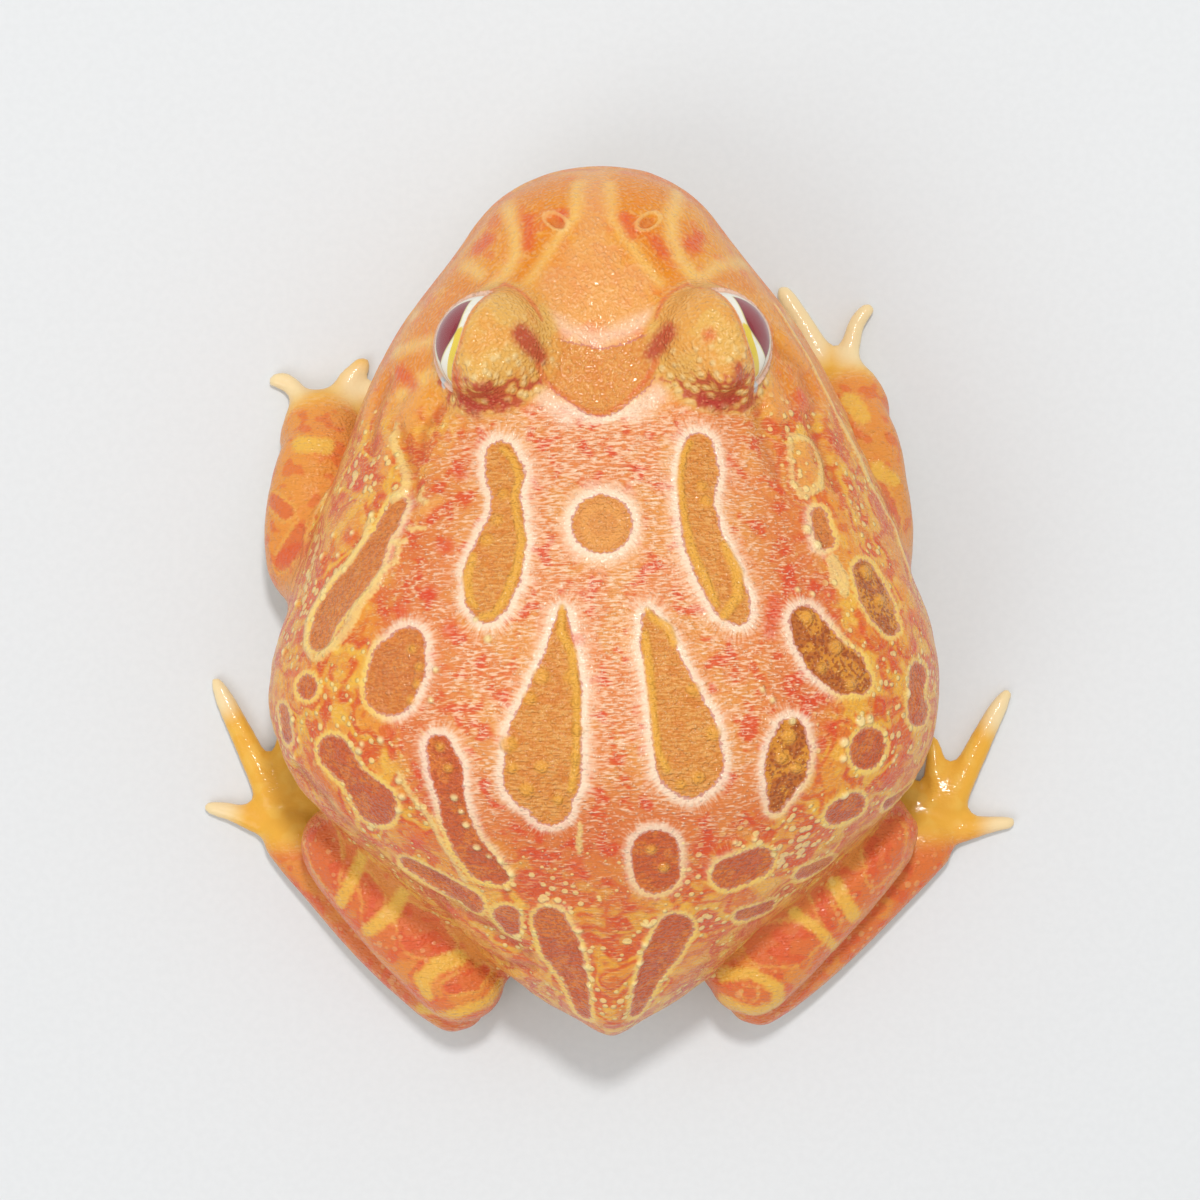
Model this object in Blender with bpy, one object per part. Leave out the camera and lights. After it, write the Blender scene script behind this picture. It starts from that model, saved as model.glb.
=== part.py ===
"""A squatting horned frog at life size, as a still display model of separate solid pieces.

Metres, +Z up. The frog faces -Y, its own left side is +X, and its belly, hands and feet
rest on the floor at Z = 0. The origin lies on the floor under the middle of the outline.
"""

import math

import bmesh
import bpy
import numpy as np
from mathutils import Matrix, Vector

MM = 0.001
GAP = 0.3
# Further out than any part of the frog, for cutters that only need to reach past it
BEYOND = 60.0

# Driving sizes, in millimetres
SNOUT_Y = -46.2
VENT_Y = 45.9
SNOUT_ROUNDING = 5.4
VENT_ROUNDING = 4.0
NECK_Y = -12.5
LEFT = 1
RIGHT = -1

# Profiles of head and trunk along the body: (place along Y, value)
HALF_WIDTH = [
    (-46.2, 9.2), (-42.5, 11.1), (-37.3, 14.7), (-28.6, 21.4), (-18.0, 26.7), (-3.0, 32.5),
    (8.6, 35.7), (15.0, 34.9), (21.4, 31.2), (26.7, 25.4), (37.4, 13.6), (45.9, 6.4),
]
BACK_HEIGHT = [
    (-46.2, 19.6), (-42.5, 22.0), (-38.0, 25.0), (-32.5, 27.5), (-26.0, 28.8), (-18.0, 31.0),
    (-5.0, 36.3), (9.0, 39.6), (18.0, 38.8), (27.0, 34.2), (36.0, 26.8), (45.9, 17.0),
]
BELLY_HEIGHT = [(-46.2, 5.6), (-38.0, 3.4), (-28.0, 1.6), (-18.0, 0.2), (-8.0, -0.9),
                (30.0, -0.9), (38.0, 0.6), (45.9, 6.0)]
WIDEST_HEIGHT = [(-46.2, 12.0), (-18.0, 12.4), (0.0, 14.0), (15.0, 15.0), (32.0, 14.0),
                 (45.9, 11.0)]
BACK_FULLNESS = [(-46.2, 2.05), (-26.0, 2.2), (0.0, 2.3), (20.0, 2.35), (45.9, 1.9)]
BELLY_FULLNESS = 2.6
# The head is turned a little to the frog's left, and the left flank bulges more
SIDEWAYS = [(-46.2, 0.1), (-41.0, 0.5), (-28.0, 0.5), (-12.0, 0.1), (0.0, 0.1), (9.0, 0.4),
            (22.0, 0.0), (45.9, 0.0)]
TRUNK_RINGS = 46
TRUNK_SIDES = 44
# How much the rings crowd together towards snout and vent, where the outline turns most
RING_CROWDING = 0.11

# Mouth: its line along the side of the face, and the share of its width by which the lower
# jaw stands in under the upper lip, full below the lip's edge and gone at the mouth's corner
MOUTH_LINE = [(-47.0, 11.2), (-38.0, 11.9), (-28.0, 12.2), (-20.0, 11.4), (-12.0, 8.6)]
LIP_OVERHANG = 0.055
LIP_EDGE = 0.8
MOUTH_CORNER = 5.0

# Eyes and their lids, and the swelling of the head that carries them
BROW_RISE = 1.9
BROW_REACH = 12.0
EYE_PLACE = (12.05, -26.3, 28.0)
EYE_RADIUS = 5.55
LID_RADIUS = 6.45
GAZE = Vector((0.93, -0.28, 0.22))
OPENING_LONG = 7.8
OPENING_HIGH = 4.6
# The opening between the lids widens outwards: (distance from the eye's centre, share)
OPENING_FLARE = [(0.4, 0.72), (3.9, 0.96), (9.5, 1.12)]
OPENING_POINTS = 28
# The small horn of each upper lid: its direction, and (height over the lid, radius)
HORN_PLACE = (0.6, 3.3, 5.3)
HORN_PROFILE = [(-2.2, 2.6), (-0.2, 2.2), (1.7, 0.5)]
NOSTRIL_PLACE = (4.95, -38.9)
NOSTRIL_RADIUS = 0.62
NOSTRIL_DEPTH = 1.3
NOSTRIL_LEAN = Vector((0.5, -0.3, 0))

# How far a sole would sink into the floor: it is cut off flat there
SOLE_DEPTH = 0.6

# Points this near each other are merged after a cut, the first distance that leaves it closed
MERGES = (0.01, 0.003, 0.0005, 0.0)

# Hands and feet are grown together on a grid of this fineness, softened, then thinned to
# about this many triangles
FUSING_GRID = 0.30
FUSING_SOFTENING = 3
HAND_FACES = 520
FOOT_FACES = 800

# How finely limbs are drawn: sides of a limb and of a digit, steps on a curve between two
# stations, and where the rings of a rounded end stand, in shares of its radius
LIMB_SIDES = 14
DIGIT_SIDES = 10
CURVE_STEPS = 24
BALL_SEGMENTS = 22
END_RINGS = (0.1, 0.45)

FINISHES = {
    "skin_head": ((0.86, 0.50, 0.20), 0.42),
    "skin_back": ((0.86, 0.42, 0.22), 0.45),
    "skin_belly": ((0.90, 0.74, 0.55), 0.50),
    "skin_limb": ((0.82, 0.36, 0.15), 0.42),
    "skin_toe": ((0.86, 0.62, 0.25), 0.38),
    "eye": ((0.80, 0.76, 0.58), 0.08),
}


def clear_scene():
    for obj in list(bpy.data.objects):
        bpy.data.objects.remove(obj, do_unlink=True)


def finish(name):
    """The skin or eye finish of that name, made once."""
    material = bpy.data.materials.get(name)
    if material is None:
        colour, roughness = FINISHES[name]
        material = bpy.data.materials.new(name)
        material.use_nodes = True
        shader = material.node_tree.nodes["Principled BSDF"]
        shader.inputs["Base Color"].default_value = (*colour, 1)
        shader.inputs["Roughness"].default_value = roughness
    return material


def smooth_value(profile, at):
    """The profile's value at one place, on a monotone cubic through its points."""
    x = np.array([p[0] for p in profile], float)
    y = np.array([p[1] for p in profile], float)
    step = np.diff(x)
    slope = np.diff(y) / step
    ends = np.concatenate([[slope[0]], (slope[1:] + slope[:-1]) / 2, [slope[-1]]])
    turns = np.concatenate([[False], slope[1:] * slope[:-1] <= 0, [False]])
    ends[turns] = 0
    at = min(max(at, x[0]), x[-1])
    i = min(int(np.searchsorted(x, at, side="right")) - 1, len(step) - 1)
    t = (at - x[i]) / step[i]
    return float(
        y[i] * (1 + 2 * t) * (1 - t) ** 2
        + y[i + 1] * t * t * (3 - 2 * t)
        + step[i] * t * (1 - t) * (ends[i] * (1 - t) - ends[i + 1] * t)
    )


def smooth_step(t):
    t = min(max(t, 0.0), 1.0)
    return t * t * (3 - 2 * t)


def round_end(distance, radius):
    """1 on the body, falling to 0 at a rounded tip."""
    return math.sqrt(max(0.0, 1 - max(0.0, 1 - distance / radius) ** 2))


def mesh_object(name, rings, tips, material):
    """A closed skin over rings of points, drawn together to a tip at each end."""
    mesh = bmesh.new()
    rows = [[mesh.verts.new(p) for p in ring] for ring in rings]
    count = len(rows[0])
    for a, b in zip(rows, rows[1:]):
        for i in range(count):
            j = (i + 1) % count
            mesh.faces.new((a[i], a[j], b[j], b[i]))
    first, last = (mesh.verts.new(p) for p in tips)
    for i in range(count):
        j = (i + 1) % count
        mesh.faces.new((first, rows[0][j], rows[0][i]))
        mesh.faces.new((last, rows[-1][i], rows[-1][j]))
    bmesh.ops.recalc_face_normals(mesh, faces=mesh.faces)
    return object_of(name, mesh, material)


def object_of(name, mesh, material):
    """Turns a bmesh in millimetres into a smooth-shaded object in metres."""
    bmesh.ops.transform(mesh, matrix=Matrix.Scale(MM, 4), verts=mesh.verts)
    data = bpy.data.meshes.new(name)
    mesh.to_mesh(data)
    mesh.free()
    data.shade_smooth()
    data.materials.append(finish(material))
    obj = bpy.data.objects.new(name, data)
    bpy.context.scene.collection.objects.link(obj)
    return obj


def trunk_point(y, turn):
    """A point of the head and trunk's surface, turned from the left side over the back."""
    from_snout, from_vent = y - SNOUT_Y, VENT_Y - y
    closing = round_end(from_snout, SNOUT_ROUNDING) * round_end(from_vent, VENT_ROUNDING)
    half_width = smooth_value(HALF_WIDTH, y) * closing
    middle = smooth_value(WIDEST_HEIGHT, y)
    over = math.sin(turn) >= 0
    reach = smooth_value(BACK_HEIGHT if over else BELLY_HEIGHT, y) - middle
    fullness = smooth_value(BACK_FULLNESS, y) if over else BELLY_FULLNESS
    across = abs(math.cos(turn)) ** (2 / fullness)
    up = abs(math.sin(turn)) ** (2 / fullness)
    z = middle + reach * closing * up
    lip = smooth_value(MOUTH_LINE, y)
    tucked = LIP_OVERHANG * smooth_step((NECK_Y - y) / MOUTH_CORNER)
    tucked *= smooth_step((lip - z) / LIP_EDGE)
    x = math.copysign(half_width * across * (1 - tucked), math.cos(turn))
    if over:
        z += brow_mound(x, y) * up
    return Vector((x + smooth_value(SIDEWAYS, y), y, max(z, 0.0)))


def brow_mound(x, y):
    """How much the top of the head swells up around each eye."""
    away = math.hypot(abs(x) - EYE_PLACE[0], y - EYE_PLACE[1])
    return BROW_RISE * smooth_step(1 - away / BROW_REACH)


def head_and_trunk():
    """The whole body without limbs, lofted from snout to vent."""
    rings = []
    for i in range(1, TRUNK_RINGS):
        t = i / TRUNK_RINGS
        share = t - RING_CROWDING * math.sin(2 * math.pi * t)
        y = SNOUT_Y + share * (VENT_Y - SNOUT_Y)
        rings.append(
            [trunk_point(y, 2 * math.pi * k / TRUNK_SIDES) for k in range(TRUNK_SIDES)]
        )
    tips = [
        (0, SNOUT_Y, smooth_value(WIDEST_HEIGHT, SNOUT_Y)),
        (0, VENT_Y, smooth_value(WIDEST_HEIGHT, VENT_Y)),
    ]
    return mesh_object("torso", rings, tips, "skin_back")


def curve_through(stations, count):
    """Evenly spaced rows on a smooth curve through the stations, each (x, y, z, a, b)."""
    rows = np.array(stations, float)
    padded = np.vstack([2 * rows[0] - rows[1], rows, 2 * rows[-1] - rows[-2]])
    fine = []
    for i in range(len(rows) - 1):
        p0, p1, p2, p3 = padded[i:i + 4]
        for t in np.linspace(0, 1, CURVE_STEPS, endpoint=False):
            fine.append(
                0.5 * (2 * p1 + (p2 - p0) * t + (2 * p0 - 5 * p1 + 4 * p2 - p3) * t * t
                       + (3 * p1 - p0 - 3 * p2 + p3) * t ** 3)
            )
    fine.append(rows[-1])
    fine = np.array(fine)
    run = np.concatenate([[0], np.cumsum(np.linalg.norm(np.diff(fine[:, :3], axis=0), axis=1))])
    places = np.linspace(0, run[-1], count)
    picked = np.column_stack([np.interp(places, run, fine[:, k]) for k in range(5)])
    return picked, run[-1]


def limb(name, stations, material, count, sides=LIMB_SIDES):
    """A tapering, round-ended limb. Stations are (x, y, z, half width, half height)."""
    rows, length = curve_through(stations, count)
    start, end = rows[0, 3], rows[-1, 3]
    places = np.linspace(0, length, count)
    start_places = [share * start for share in END_RINGS]
    end_places = [length - share * end for share in reversed(END_RINGS)]
    between = [p for p in places if start_places[-1] + GAP < p < end_places[0] - GAP]
    rings = []
    for place in start_places + between + end_places:
        row = np.array([np.interp(place, places, rows[:, k]) for k in range(5)])
        ahead = [np.interp(min(place + 0.2, length), places, rows[:, k]) for k in range(3)]
        behind = [np.interp(max(place - 0.2, 0), places, rows[:, k]) for k in range(3)]
        along = (Vector(ahead) - Vector(behind)).normalized()
        side = along.cross(Vector((0, 0, 1))).normalized()
        up = side.cross(along)
        closing = round_end(place, start) * round_end(length - place, end)
        centre = Vector(row[:3])
        ring = []
        for k in range(sides):
            turn = 2 * math.pi * k / sides
            point = centre + closing * (
                side * row[3] * math.cos(turn) + up * row[4] * math.sin(turn)
            )
            ring.append(point)
        rings.append(ring)
    return mesh_object(name, rings, [Vector(rows[0, :3]), Vector(rows[-1, :3])], material)


def laid(stations):
    """Stations of a digit on the floor: z is how far its underside is lifted."""
    return [(x, y, lift + high - SOLE_DEPTH, wide, high) for x, y, lift, wide, high in stations]


def cut_plane(obj, place, normal):
    """Cuts away what lies beyond a plane and closes the cut with a flat face."""
    mesh = bmesh.new()
    mesh.from_mesh(obj.data)
    cut = bmesh.ops.bisect_plane(
        mesh, geom=[*mesh.verts, *mesh.edges, *mesh.faces], dist=1e-7,
        plane_co=Vector(place) * MM, plane_no=normal, clear_outer=True,
    )
    rim = [e for e in cut["geom_cut"] if isinstance(e, bmesh.types.BMEdge)]
    bmesh.ops.holes_fill(mesh, edges=rim)
    bmesh.ops.recalc_face_normals(mesh, faces=mesh.faces)
    mesh.to_mesh(obj.data)
    mesh.free()
    if not keep_largest(obj):
        raise RuntimeError(f"{obj.name} isn't closed after a flat cut")
    return obj


def ball(name, centre, radius, material, rings):
    """A sphere whose poles lie along the gaze of its own side."""
    mesh = bmesh.new()
    bmesh.ops.create_uvsphere(mesh, u_segments=BALL_SEGMENTS, v_segments=rings, radius=radius)
    facing = Vector((math.copysign(GAZE.x, centre[0]), GAZE.y, GAZE.z)).normalized()
    turn = facing.to_track_quat("Z", "Y").to_matrix().to_4x4()
    bmesh.ops.transform(mesh, matrix=Matrix.Translation(centre) @ turn, verts=mesh.verts)
    return object_of(name, mesh, material)


def copy_of(obj, name=None):
    """A separate copy of an object with its own mesh."""
    twin = obj.copy()
    twin.data = obj.data.copy()
    if name:
        twin.name = name
    bpy.context.scene.collection.objects.link(twin)
    return twin


def grown(obj, by=GAP):
    """A copy of an object, larger all round by a clearance in millimetres."""
    twin = copy_of(obj)
    mesh = bmesh.new()
    mesh.from_mesh(twin.data)
    mesh.normal_update()
    moves = [(v, v.normal * by * MM) for v in mesh.verts]
    for vert, move in moves:
        vert.co += move
    mesh.to_mesh(twin.data)
    mesh.free()
    return twin


def apply_modifiers(obj):
    """Fixes an object's modifiers into its mesh."""
    graph = bpy.context.evaluated_depsgraph_get()
    made = bpy.data.meshes.new_from_object(obj.evaluated_get(graph))
    obj.modifiers.clear()
    obj.data = made
    return obj


def boolean(obj, operation, tools):
    """Joins, cuts or intersects an object with others, which are then removed."""
    group = bpy.data.collections.new("tools")
    bpy.context.scene.collection.children.link(group)
    for tool in tools:
        group.objects.link(tool)
    before = obj.data.copy()
    for solver in ("EXACT", "MANIFOLD"):
        obj.data = before.copy()
        modifier = obj.modifiers.new(operation.lower(), "BOOLEAN")
        modifier.operation = operation
        modifier.solver = solver
        modifier.operand_type = "COLLECTION"
        modifier.collection = group
        apply_modifiers(obj)
        if keep_largest(obj):
            break
    else:
        raise RuntimeError(f"{obj.name} isn't closed after {operation}")
    for tool in list(tools):
        bpy.data.objects.remove(tool, do_unlink=True)
    bpy.data.collections.remove(group)
    return obj


def is_closed(mesh):
    return len(mesh.faces) > 0 and all(e.is_manifold and e.is_contiguous for e in mesh.edges)


def keep_largest(obj):
    """Keeps only the largest surface of an object, and says whether it is closed."""
    for merge in MERGES:
        mesh = bmesh.new()
        mesh.from_mesh(obj.data)
        bmesh.ops.triangulate(mesh, faces=mesh.faces)
        if merge:
            bmesh.ops.remove_doubles(mesh, verts=mesh.verts, dist=merge * MM)
            bmesh.ops.dissolve_degenerate(mesh, edges=mesh.edges, dist=merge * MM)
            bmesh.ops.triangulate(mesh, faces=mesh.faces)
        if is_closed(mesh):
            break
    left, groups = set(mesh.verts), []
    while left:
        stack = [left.pop()]
        group = set(stack)
        while stack:
            for edge in stack.pop().link_edges:
                for vert in edge.verts:
                    if vert in left:
                        left.discard(vert)
                        group.add(vert)
                        stack.append(vert)
        groups.append(group)
    groups.sort(key=lambda g: -box_volume(g))
    for group in groups[1:]:
        bmesh.ops.delete(mesh, geom=list(group), context="VERTS")
    closed = is_closed(mesh)
    mesh.to_mesh(obj.data)
    mesh.free()
    obj.data.shade_smooth()
    return closed


def fused(obj, others, faces):
    """Grows several solids together into one smooth one with about that many triangles."""
    mesh = bmesh.new()
    for piece in (obj, *others):
        mesh.from_mesh(piece.data)
    mesh.to_mesh(obj.data)
    mesh.free()
    for piece in others:
        bpy.data.objects.remove(piece, do_unlink=True)
    remesh = obj.modifiers.new("fuse", "REMESH")
    remesh.mode = "VOXEL"
    remesh.voxel_size = FUSING_GRID * MM
    apply_modifiers(obj)
    soften = obj.modifiers.new("soften", "SMOOTH")
    soften.factor = 0.5
    soften.iterations = FUSING_SOFTENING
    apply_modifiers(obj)
    triangles = 2 * len(obj.data.polygons)
    thin = obj.modifiers.new("thin", "DECIMATE")
    thin.ratio = faces / triangles
    apply_modifiers(obj)
    if not keep_largest(obj):
        raise RuntimeError(f"{obj.name} isn't closed after fusing")
    return obj


def box_volume(verts):
    sides = np.ptp(np.array([v.co for v in verts]), axis=0)
    return float(np.prod(sides + 1e-6))


def block(name, y_low, y_high, z_low, top_of, steps=14):
    """A wide solid whose top follows top_of along Y."""
    mesh = bmesh.new()
    lower, upper = [], []
    for i in range(steps + 1):
        y = y_low + (y_high - y_low) * i / steps
        lower.append([mesh.verts.new((s * BEYOND, y, z_low)) for s in (-1, 1)])
        upper.append([mesh.verts.new((s * BEYOND, y, top_of(y))) for s in (-1, 1)])
    for i in range(steps):
        for row in (lower, upper):
            mesh.faces.new((row[i][0], row[i][1], row[i + 1][1], row[i + 1][0]))
        for s in (0, 1):
            mesh.faces.new((lower[i][s], upper[i][s], upper[i + 1][s], lower[i + 1][s]))
    for i in (0, steps):
        mesh.faces.new((lower[i][0], lower[i][1], upper[i][1], upper[i][0]))
    bmesh.ops.recalc_face_normals(mesh, faces=mesh.faces)
    return object_of(name, mesh, "skin_back")


def part_head(torso):
    """Cuts the head off the trunk at the neck, and the lower jaw off the head at the mouth."""
    front, under = SNOUT_Y - 10, -10
    head = copy_of(torso, "head")

    def over_all(y):
        return BEYOND

    boolean(head, "INTERSECT", [block("front", front, NECK_Y - GAP / 2, under, over_all)])
    boolean(torso, "DIFFERENCE", [block("front", front, NECK_Y + GAP / 2, under, over_all)])
    jaw = copy_of(head, "lower_jaw")

    def lip_top(y):
        return smooth_value(MOUTH_LINE, y) - GAP / 2

    def lip_under(y):
        return smooth_value(MOUTH_LINE, y) + GAP / 2

    boolean(jaw, "INTERSECT", [block("mouth", front, 0, under, lip_top, steps=24)])
    boolean(head, "DIFFERENCE", [block("mouth", front, 0, under, lip_under, steps=24)])
    return head, jaw


def facing_frame(side):
    """The axes of one eye: along its gaze, along its opening, and up across it."""
    gaze = Vector((side * GAZE.x, GAZE.y, GAZE.z)).normalized()
    along = gaze.cross(Vector((0, 0, 1))).normalized() * side
    return gaze, along, along.cross(gaze) * side


def eye_opening(side, centre):
    """An almond-shaped cutter that opens the lids along the gaze."""
    gaze, along, up = facing_frame(side)
    rings = []
    for distance, share in OPENING_FLARE:
        ring = []
        for k in range(OPENING_POINTS):
            turn = 2 * math.pi * k / OPENING_POINTS
            wide = math.copysign(abs(math.cos(turn)) ** 1.15, math.cos(turn))
            ring.append(
                centre + gaze * distance
                + share * (along * OPENING_LONG * wide + up * OPENING_HIGH * math.sin(turn))
            )
        rings.append(ring)
    nearest, furthest = OPENING_FLARE[0][0], OPENING_FLARE[-1][0]
    tips = [centre + gaze * nearest / 2, centre + gaze * (furthest + nearest)]
    return mesh_object("opening", rings, tips, "eye")


def eye_with_lids(side, head):
    """An eyeball in its socket, an upper lid with the small horn, and a lower lid."""
    word = "left" if side == LEFT else "right"
    centre = Vector((side * EYE_PLACE[0], EYE_PLACE[1], EYE_PLACE[2]))
    eye = ball(f"eye_{word}", centre, EYE_RADIUS, "eye", rings=12)
    shell = ball(f"upper_lid_{word}", centre, LID_RADIUS, "skin_head", rings=14)
    tip = Vector((side * HORN_PLACE[0], HORN_PLACE[1], HORN_PLACE[2]))
    outward = tip.normalized()
    stations = [
        (*(centre + outward * (LID_RADIUS + height)), radius, radius)
        for height, radius in HORN_PROFILE
    ]
    boolean(shell, "UNION", [limb("horn", stations, "skin_head", count=5, sides=8)])
    boolean(head, "DIFFERENCE", [grown(shell)])
    boolean(shell, "DIFFERENCE", [grown(eye), eye_opening(side, centre)])
    lower = copy_of(shell, f"lower_lid_{word}")
    gaze, along, up = facing_frame(side)
    for lid, way in ((shell, 1), (lower, -1)):
        cut_plane(lid, centre + up * way * GAP / 2, -up * way)
    return [eye, shell, lower]


def cut_nostrils(head):
    """Two small pits behind the upper lip, opening up and outwards."""
    pits = []
    for side in (LEFT, RIGHT):
        x, y = side * NOSTRIL_PLACE[0], NOSTRIL_PLACE[1]
        _, place, normal, _ = head.ray_cast(
            Vector((x, y, BEYOND)) * MM, Vector((0, 0, -1))
        )
        lean = Vector((side * NOSTRIL_LEAN.x, NOSTRIL_LEAN.y, NOSTRIL_LEAN.z))
        place, along = place / MM, (normal + lean).normalized() * NOSTRIL_DEPTH
        wide = NOSTRIL_RADIUS
        stations = [
            (*(place - along), wide, wide * 0.7),
            (*place, wide, wide * 0.8),
            (*(place + along), wide * 1.6, wide * 1.3),
        ]
        pits.append(limb("pit", stations, "skin_head", count=4, sides=DIGIT_SIDES))
    boolean(head, "DIFFERENCE", pits)


ARMS = {
    LEFT: {
        "upper": [(21.5, -6.0, 13.0, 4.8, 4.8), (28.0, -3.6, 10.8, 4.8, 5.0),
                  (33.6, 0.6, 7.8, 4.4, 4.6)],
        "fore": [(31.6, 0.8, 7.4, 4.0, 4.2), (32.6, -5.2, 7.0, 4.2, 4.4),
                 (32.3, -10.0, 6.2, 4.4, 4.2), (31.0, -14.6, 5.2, 4.6, 3.9),
                 (30.2, -18.4, 3.8, 4.0, 3.1), (30.4, -20.6, 2.8, 3.3, 2.3)],
        "palm": [(30.6, -19.0, 0.3, 3.2, 2.5), (30.5, -20.9, 0.1, 3.4, 2.0),
                 (30.4, -23.0, 0.0, 2.9, 1.6)],
        "fingers": [
            [(31.9, -20.6, 0.3, 1.5, 1.4), (33.3, -23.0, 0.3, 1.15, 1.1),
             (35.0, -24.5, 0.3, 1.0, 1.0), (36.3, -23.6, 0.3, 1.0, 0.95)],
            [(30.2, -20.6, 0.3, 1.6, 1.4), (27.9, -24.0, 0.35, 1.3, 1.15),
             (25.4, -26.6, 0.2, 1.1, 1.0)],
            [(29.3, -20.0, 0.3, 1.5, 1.4), (25.6, -22.4, 0.4, 1.2, 1.1),
             (21.8, -24.2, 0.2, 1.05, 1.0)],
            [(29.3, -18.8, 0.3, 1.5, 1.4), (26.2, -18.9, 0.4, 1.3, 1.1),
             (23.2, -19.6, 0.15, 1.15, 1.05)],
        ],
    },
    RIGHT: {
        "upper": [(-20.5, -6.4, 13.0, 4.8, 4.8), (-26.6, -4.2, 10.8, 4.8, 5.0),
                  (-32.0, -0.2, 7.8, 4.4, 4.6)],
        "fore": [(-29.8, 0.2, 7.4, 4.0, 4.2), (-29.3, -5.6, 7.0, 4.2, 4.4),
                 (-28.7, -11.2, 6.2, 4.2, 4.2), (-27.9, -16.4, 5.0, 4.2, 3.8),
                 (-26.5, -20.6, 3.7, 3.6, 3.0), (-26.2, -23.0, 2.7, 3.0, 2.3)],
        "palm": [(-26.3, -21.6, 0.3, 3.1, 2.5), (-26.0, -23.8, 0.1, 3.2, 2.0),
                 (-25.6, -25.9, 0.0, 2.9, 1.6)],
        "fingers": [
            [(-26.6, -23.6, 0.3, 1.5, 1.4), (-27.0, -27.2, 0.3, 1.2, 1.15),
             (-28.0, -30.2, 0.3, 1.0, 1.0), (-29.7, -31.6, 0.3, 1.0, 0.95)],
            [(-25.0, -24.0, 0.3, 1.6, 1.4), (-22.0, -29.4, 0.35, 1.3, 1.15),
             (-19.3, -33.9, 0.2, 1.1, 1.0)],
            [(-24.2, -23.4, 0.3, 1.5, 1.4), (-20.6, -26.2, 0.4, 1.2, 1.1),
             (-16.9, -28.4, 0.2, 1.05, 1.0)],
            [(-24.2, -21.8, 0.3, 1.5, 1.4), (-21.2, -21.9, 0.4, 1.3, 1.1),
             (-18.2, -22.6, 0.15, 1.15, 1.05)],
        ],
    },
}

LEGS = {
    LEFT: {
        "thigh": [(6.5, 35.5, 9.8, 6.4, 6.0), (19.0, 28.2, 9.4, 6.8, 6.6),
                  (29.8, 22.0, 8.0, 4.6, 5.2)],
        "shank": [(31.4, 22.2, 7.6, 4.2, 4.6), (27.8, 27.4, 8.2, 4.9, 5.0),
                  (21.8, 34.6, 8.0, 5.1, 5.0), (15.4, 41.6, 7.0, 5.0, 4.8),
                  (13.0, 44.4, 6.4, 4.4, 4.4)],
        "tarsus": [(13.8, 45.0, 0.5, 4.1, 3.6), (18.4, 42.0, 0.5, 3.9, 3.4),
                   (24.4, 37.2, 0.3, 3.4, 2.9), (29.8, 31.4, 0.2, 3.1, 2.7),
                   (34.4, 25.6, 0.2, 3.3, 2.2), (36.2, 22.6, 0.2, 3.2, 1.8)],
        "toes": [
            [(36.4, 24.6, 0.3, 1.7, 1.4), (40.6, 22.8, 0.35, 1.2, 1.05),
             (44.4, 21.9, 0.3, 0.8, 0.8)],
            [(36.0, 22.8, 0.2, 1.8, 1.5), (38.9, 16.2, 0.3, 1.55, 1.2),
             (41.2, 11.4, 0.25, 1.25, 1.05), (42.9, 7.7, 0.3, 0.8, 0.8)],
            [(34.8, 22.0, 0.3, 1.6, 1.4), (35.2, 15.6, 0.3, 1.25, 1.1),
             (34.4, 10.4, 0.3, 0.85, 0.8)],
            [(33.6, 22.2, 0.3, 1.5, 1.3), (31.4, 17.0, 0.25, 1.2, 1.05),
             (29.4, 13.4, 0.3, 0.85, 0.8)],
            [(32.8, 23.6, 0.3, 1.4, 1.3), (29.6, 20.2, 0.25, 1.2, 1.05),
             (26.8, 18.2, 0.25, 0.9, 0.85)],
        ],
    },
    RIGHT: {
        "thigh": [(-6.5, 35.5, 9.8, 6.4, 6.0), (-18.4, 28.4, 9.4, 6.8, 6.6),
                  (-29.4, 22.0, 8.0, 4.6, 5.2)],
        "shank": [(-31.2, 21.8, 7.6, 4.2, 4.6), (-28.0, 26.4, 8.2, 4.9, 5.0),
                  (-20.8, 34.4, 8.0, 5.1, 5.0), (-14.2, 41.2, 7.0, 5.0, 4.8),
                  (-11.6, 43.8, 6.4, 4.4, 4.4)],
        "tarsus": [(-12.6, 44.6, 0.5, 4.1, 3.6), (-17.4, 41.8, 0.5, 3.9, 3.4),
                   (-23.6, 37.4, 0.3, 3.4, 2.9), (-29.2, 32.4, 0.2, 3.1, 2.7),
                   (-34.2, 27.2, 0.2, 3.3, 2.2), (-36.4, 24.6, 0.2, 3.2, 1.8)],
        "toes": [
            [(-36.6, 26.2, 0.3, 1.7, 1.4), (-40.9, 25.2, 0.35, 1.2, 1.05),
             (-44.6, 24.9, 0.3, 0.8, 0.8)],
            [(-36.4, 24.4, 0.2, 1.8, 1.5), (-39.6, 18.0, 0.3, 1.55, 1.2),
             (-42.0, 13.4, 0.25, 1.25, 1.05), (-43.9, 10.2, 0.3, 0.8, 0.8)],
            [(-35.0, 23.8, 0.3, 1.6, 1.4), (-35.7, 19.6, 0.3, 1.25, 1.1),
             (-35.3, 15.2, 0.3, 0.85, 0.8)],
            [(-33.8, 24.0, 0.3, 1.5, 1.3), (-31.6, 19.4, 0.25, 1.2, 1.05),
             (-29.8, 16.0, 0.3, 0.85, 0.8)],
            [(-33.0, 25.2, 0.3, 1.4, 1.3), (-29.9, 22.0, 0.25, 1.2, 1.05),
             (-27.2, 20.2, 0.25, 0.9, 0.85)],
        ],
    },
}
# The webs between toes: how far along a toe they reach, how far their free edge bows back
# from there, and their thickness and height, each a little over the one before
WEB_REACH = 0.52
WEB_NOTCH = 0.62
WEB_HALF_THICKNESS = 0.42
WEB_HEIGHT = 0.8
WEB_RISE = 0.07


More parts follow.
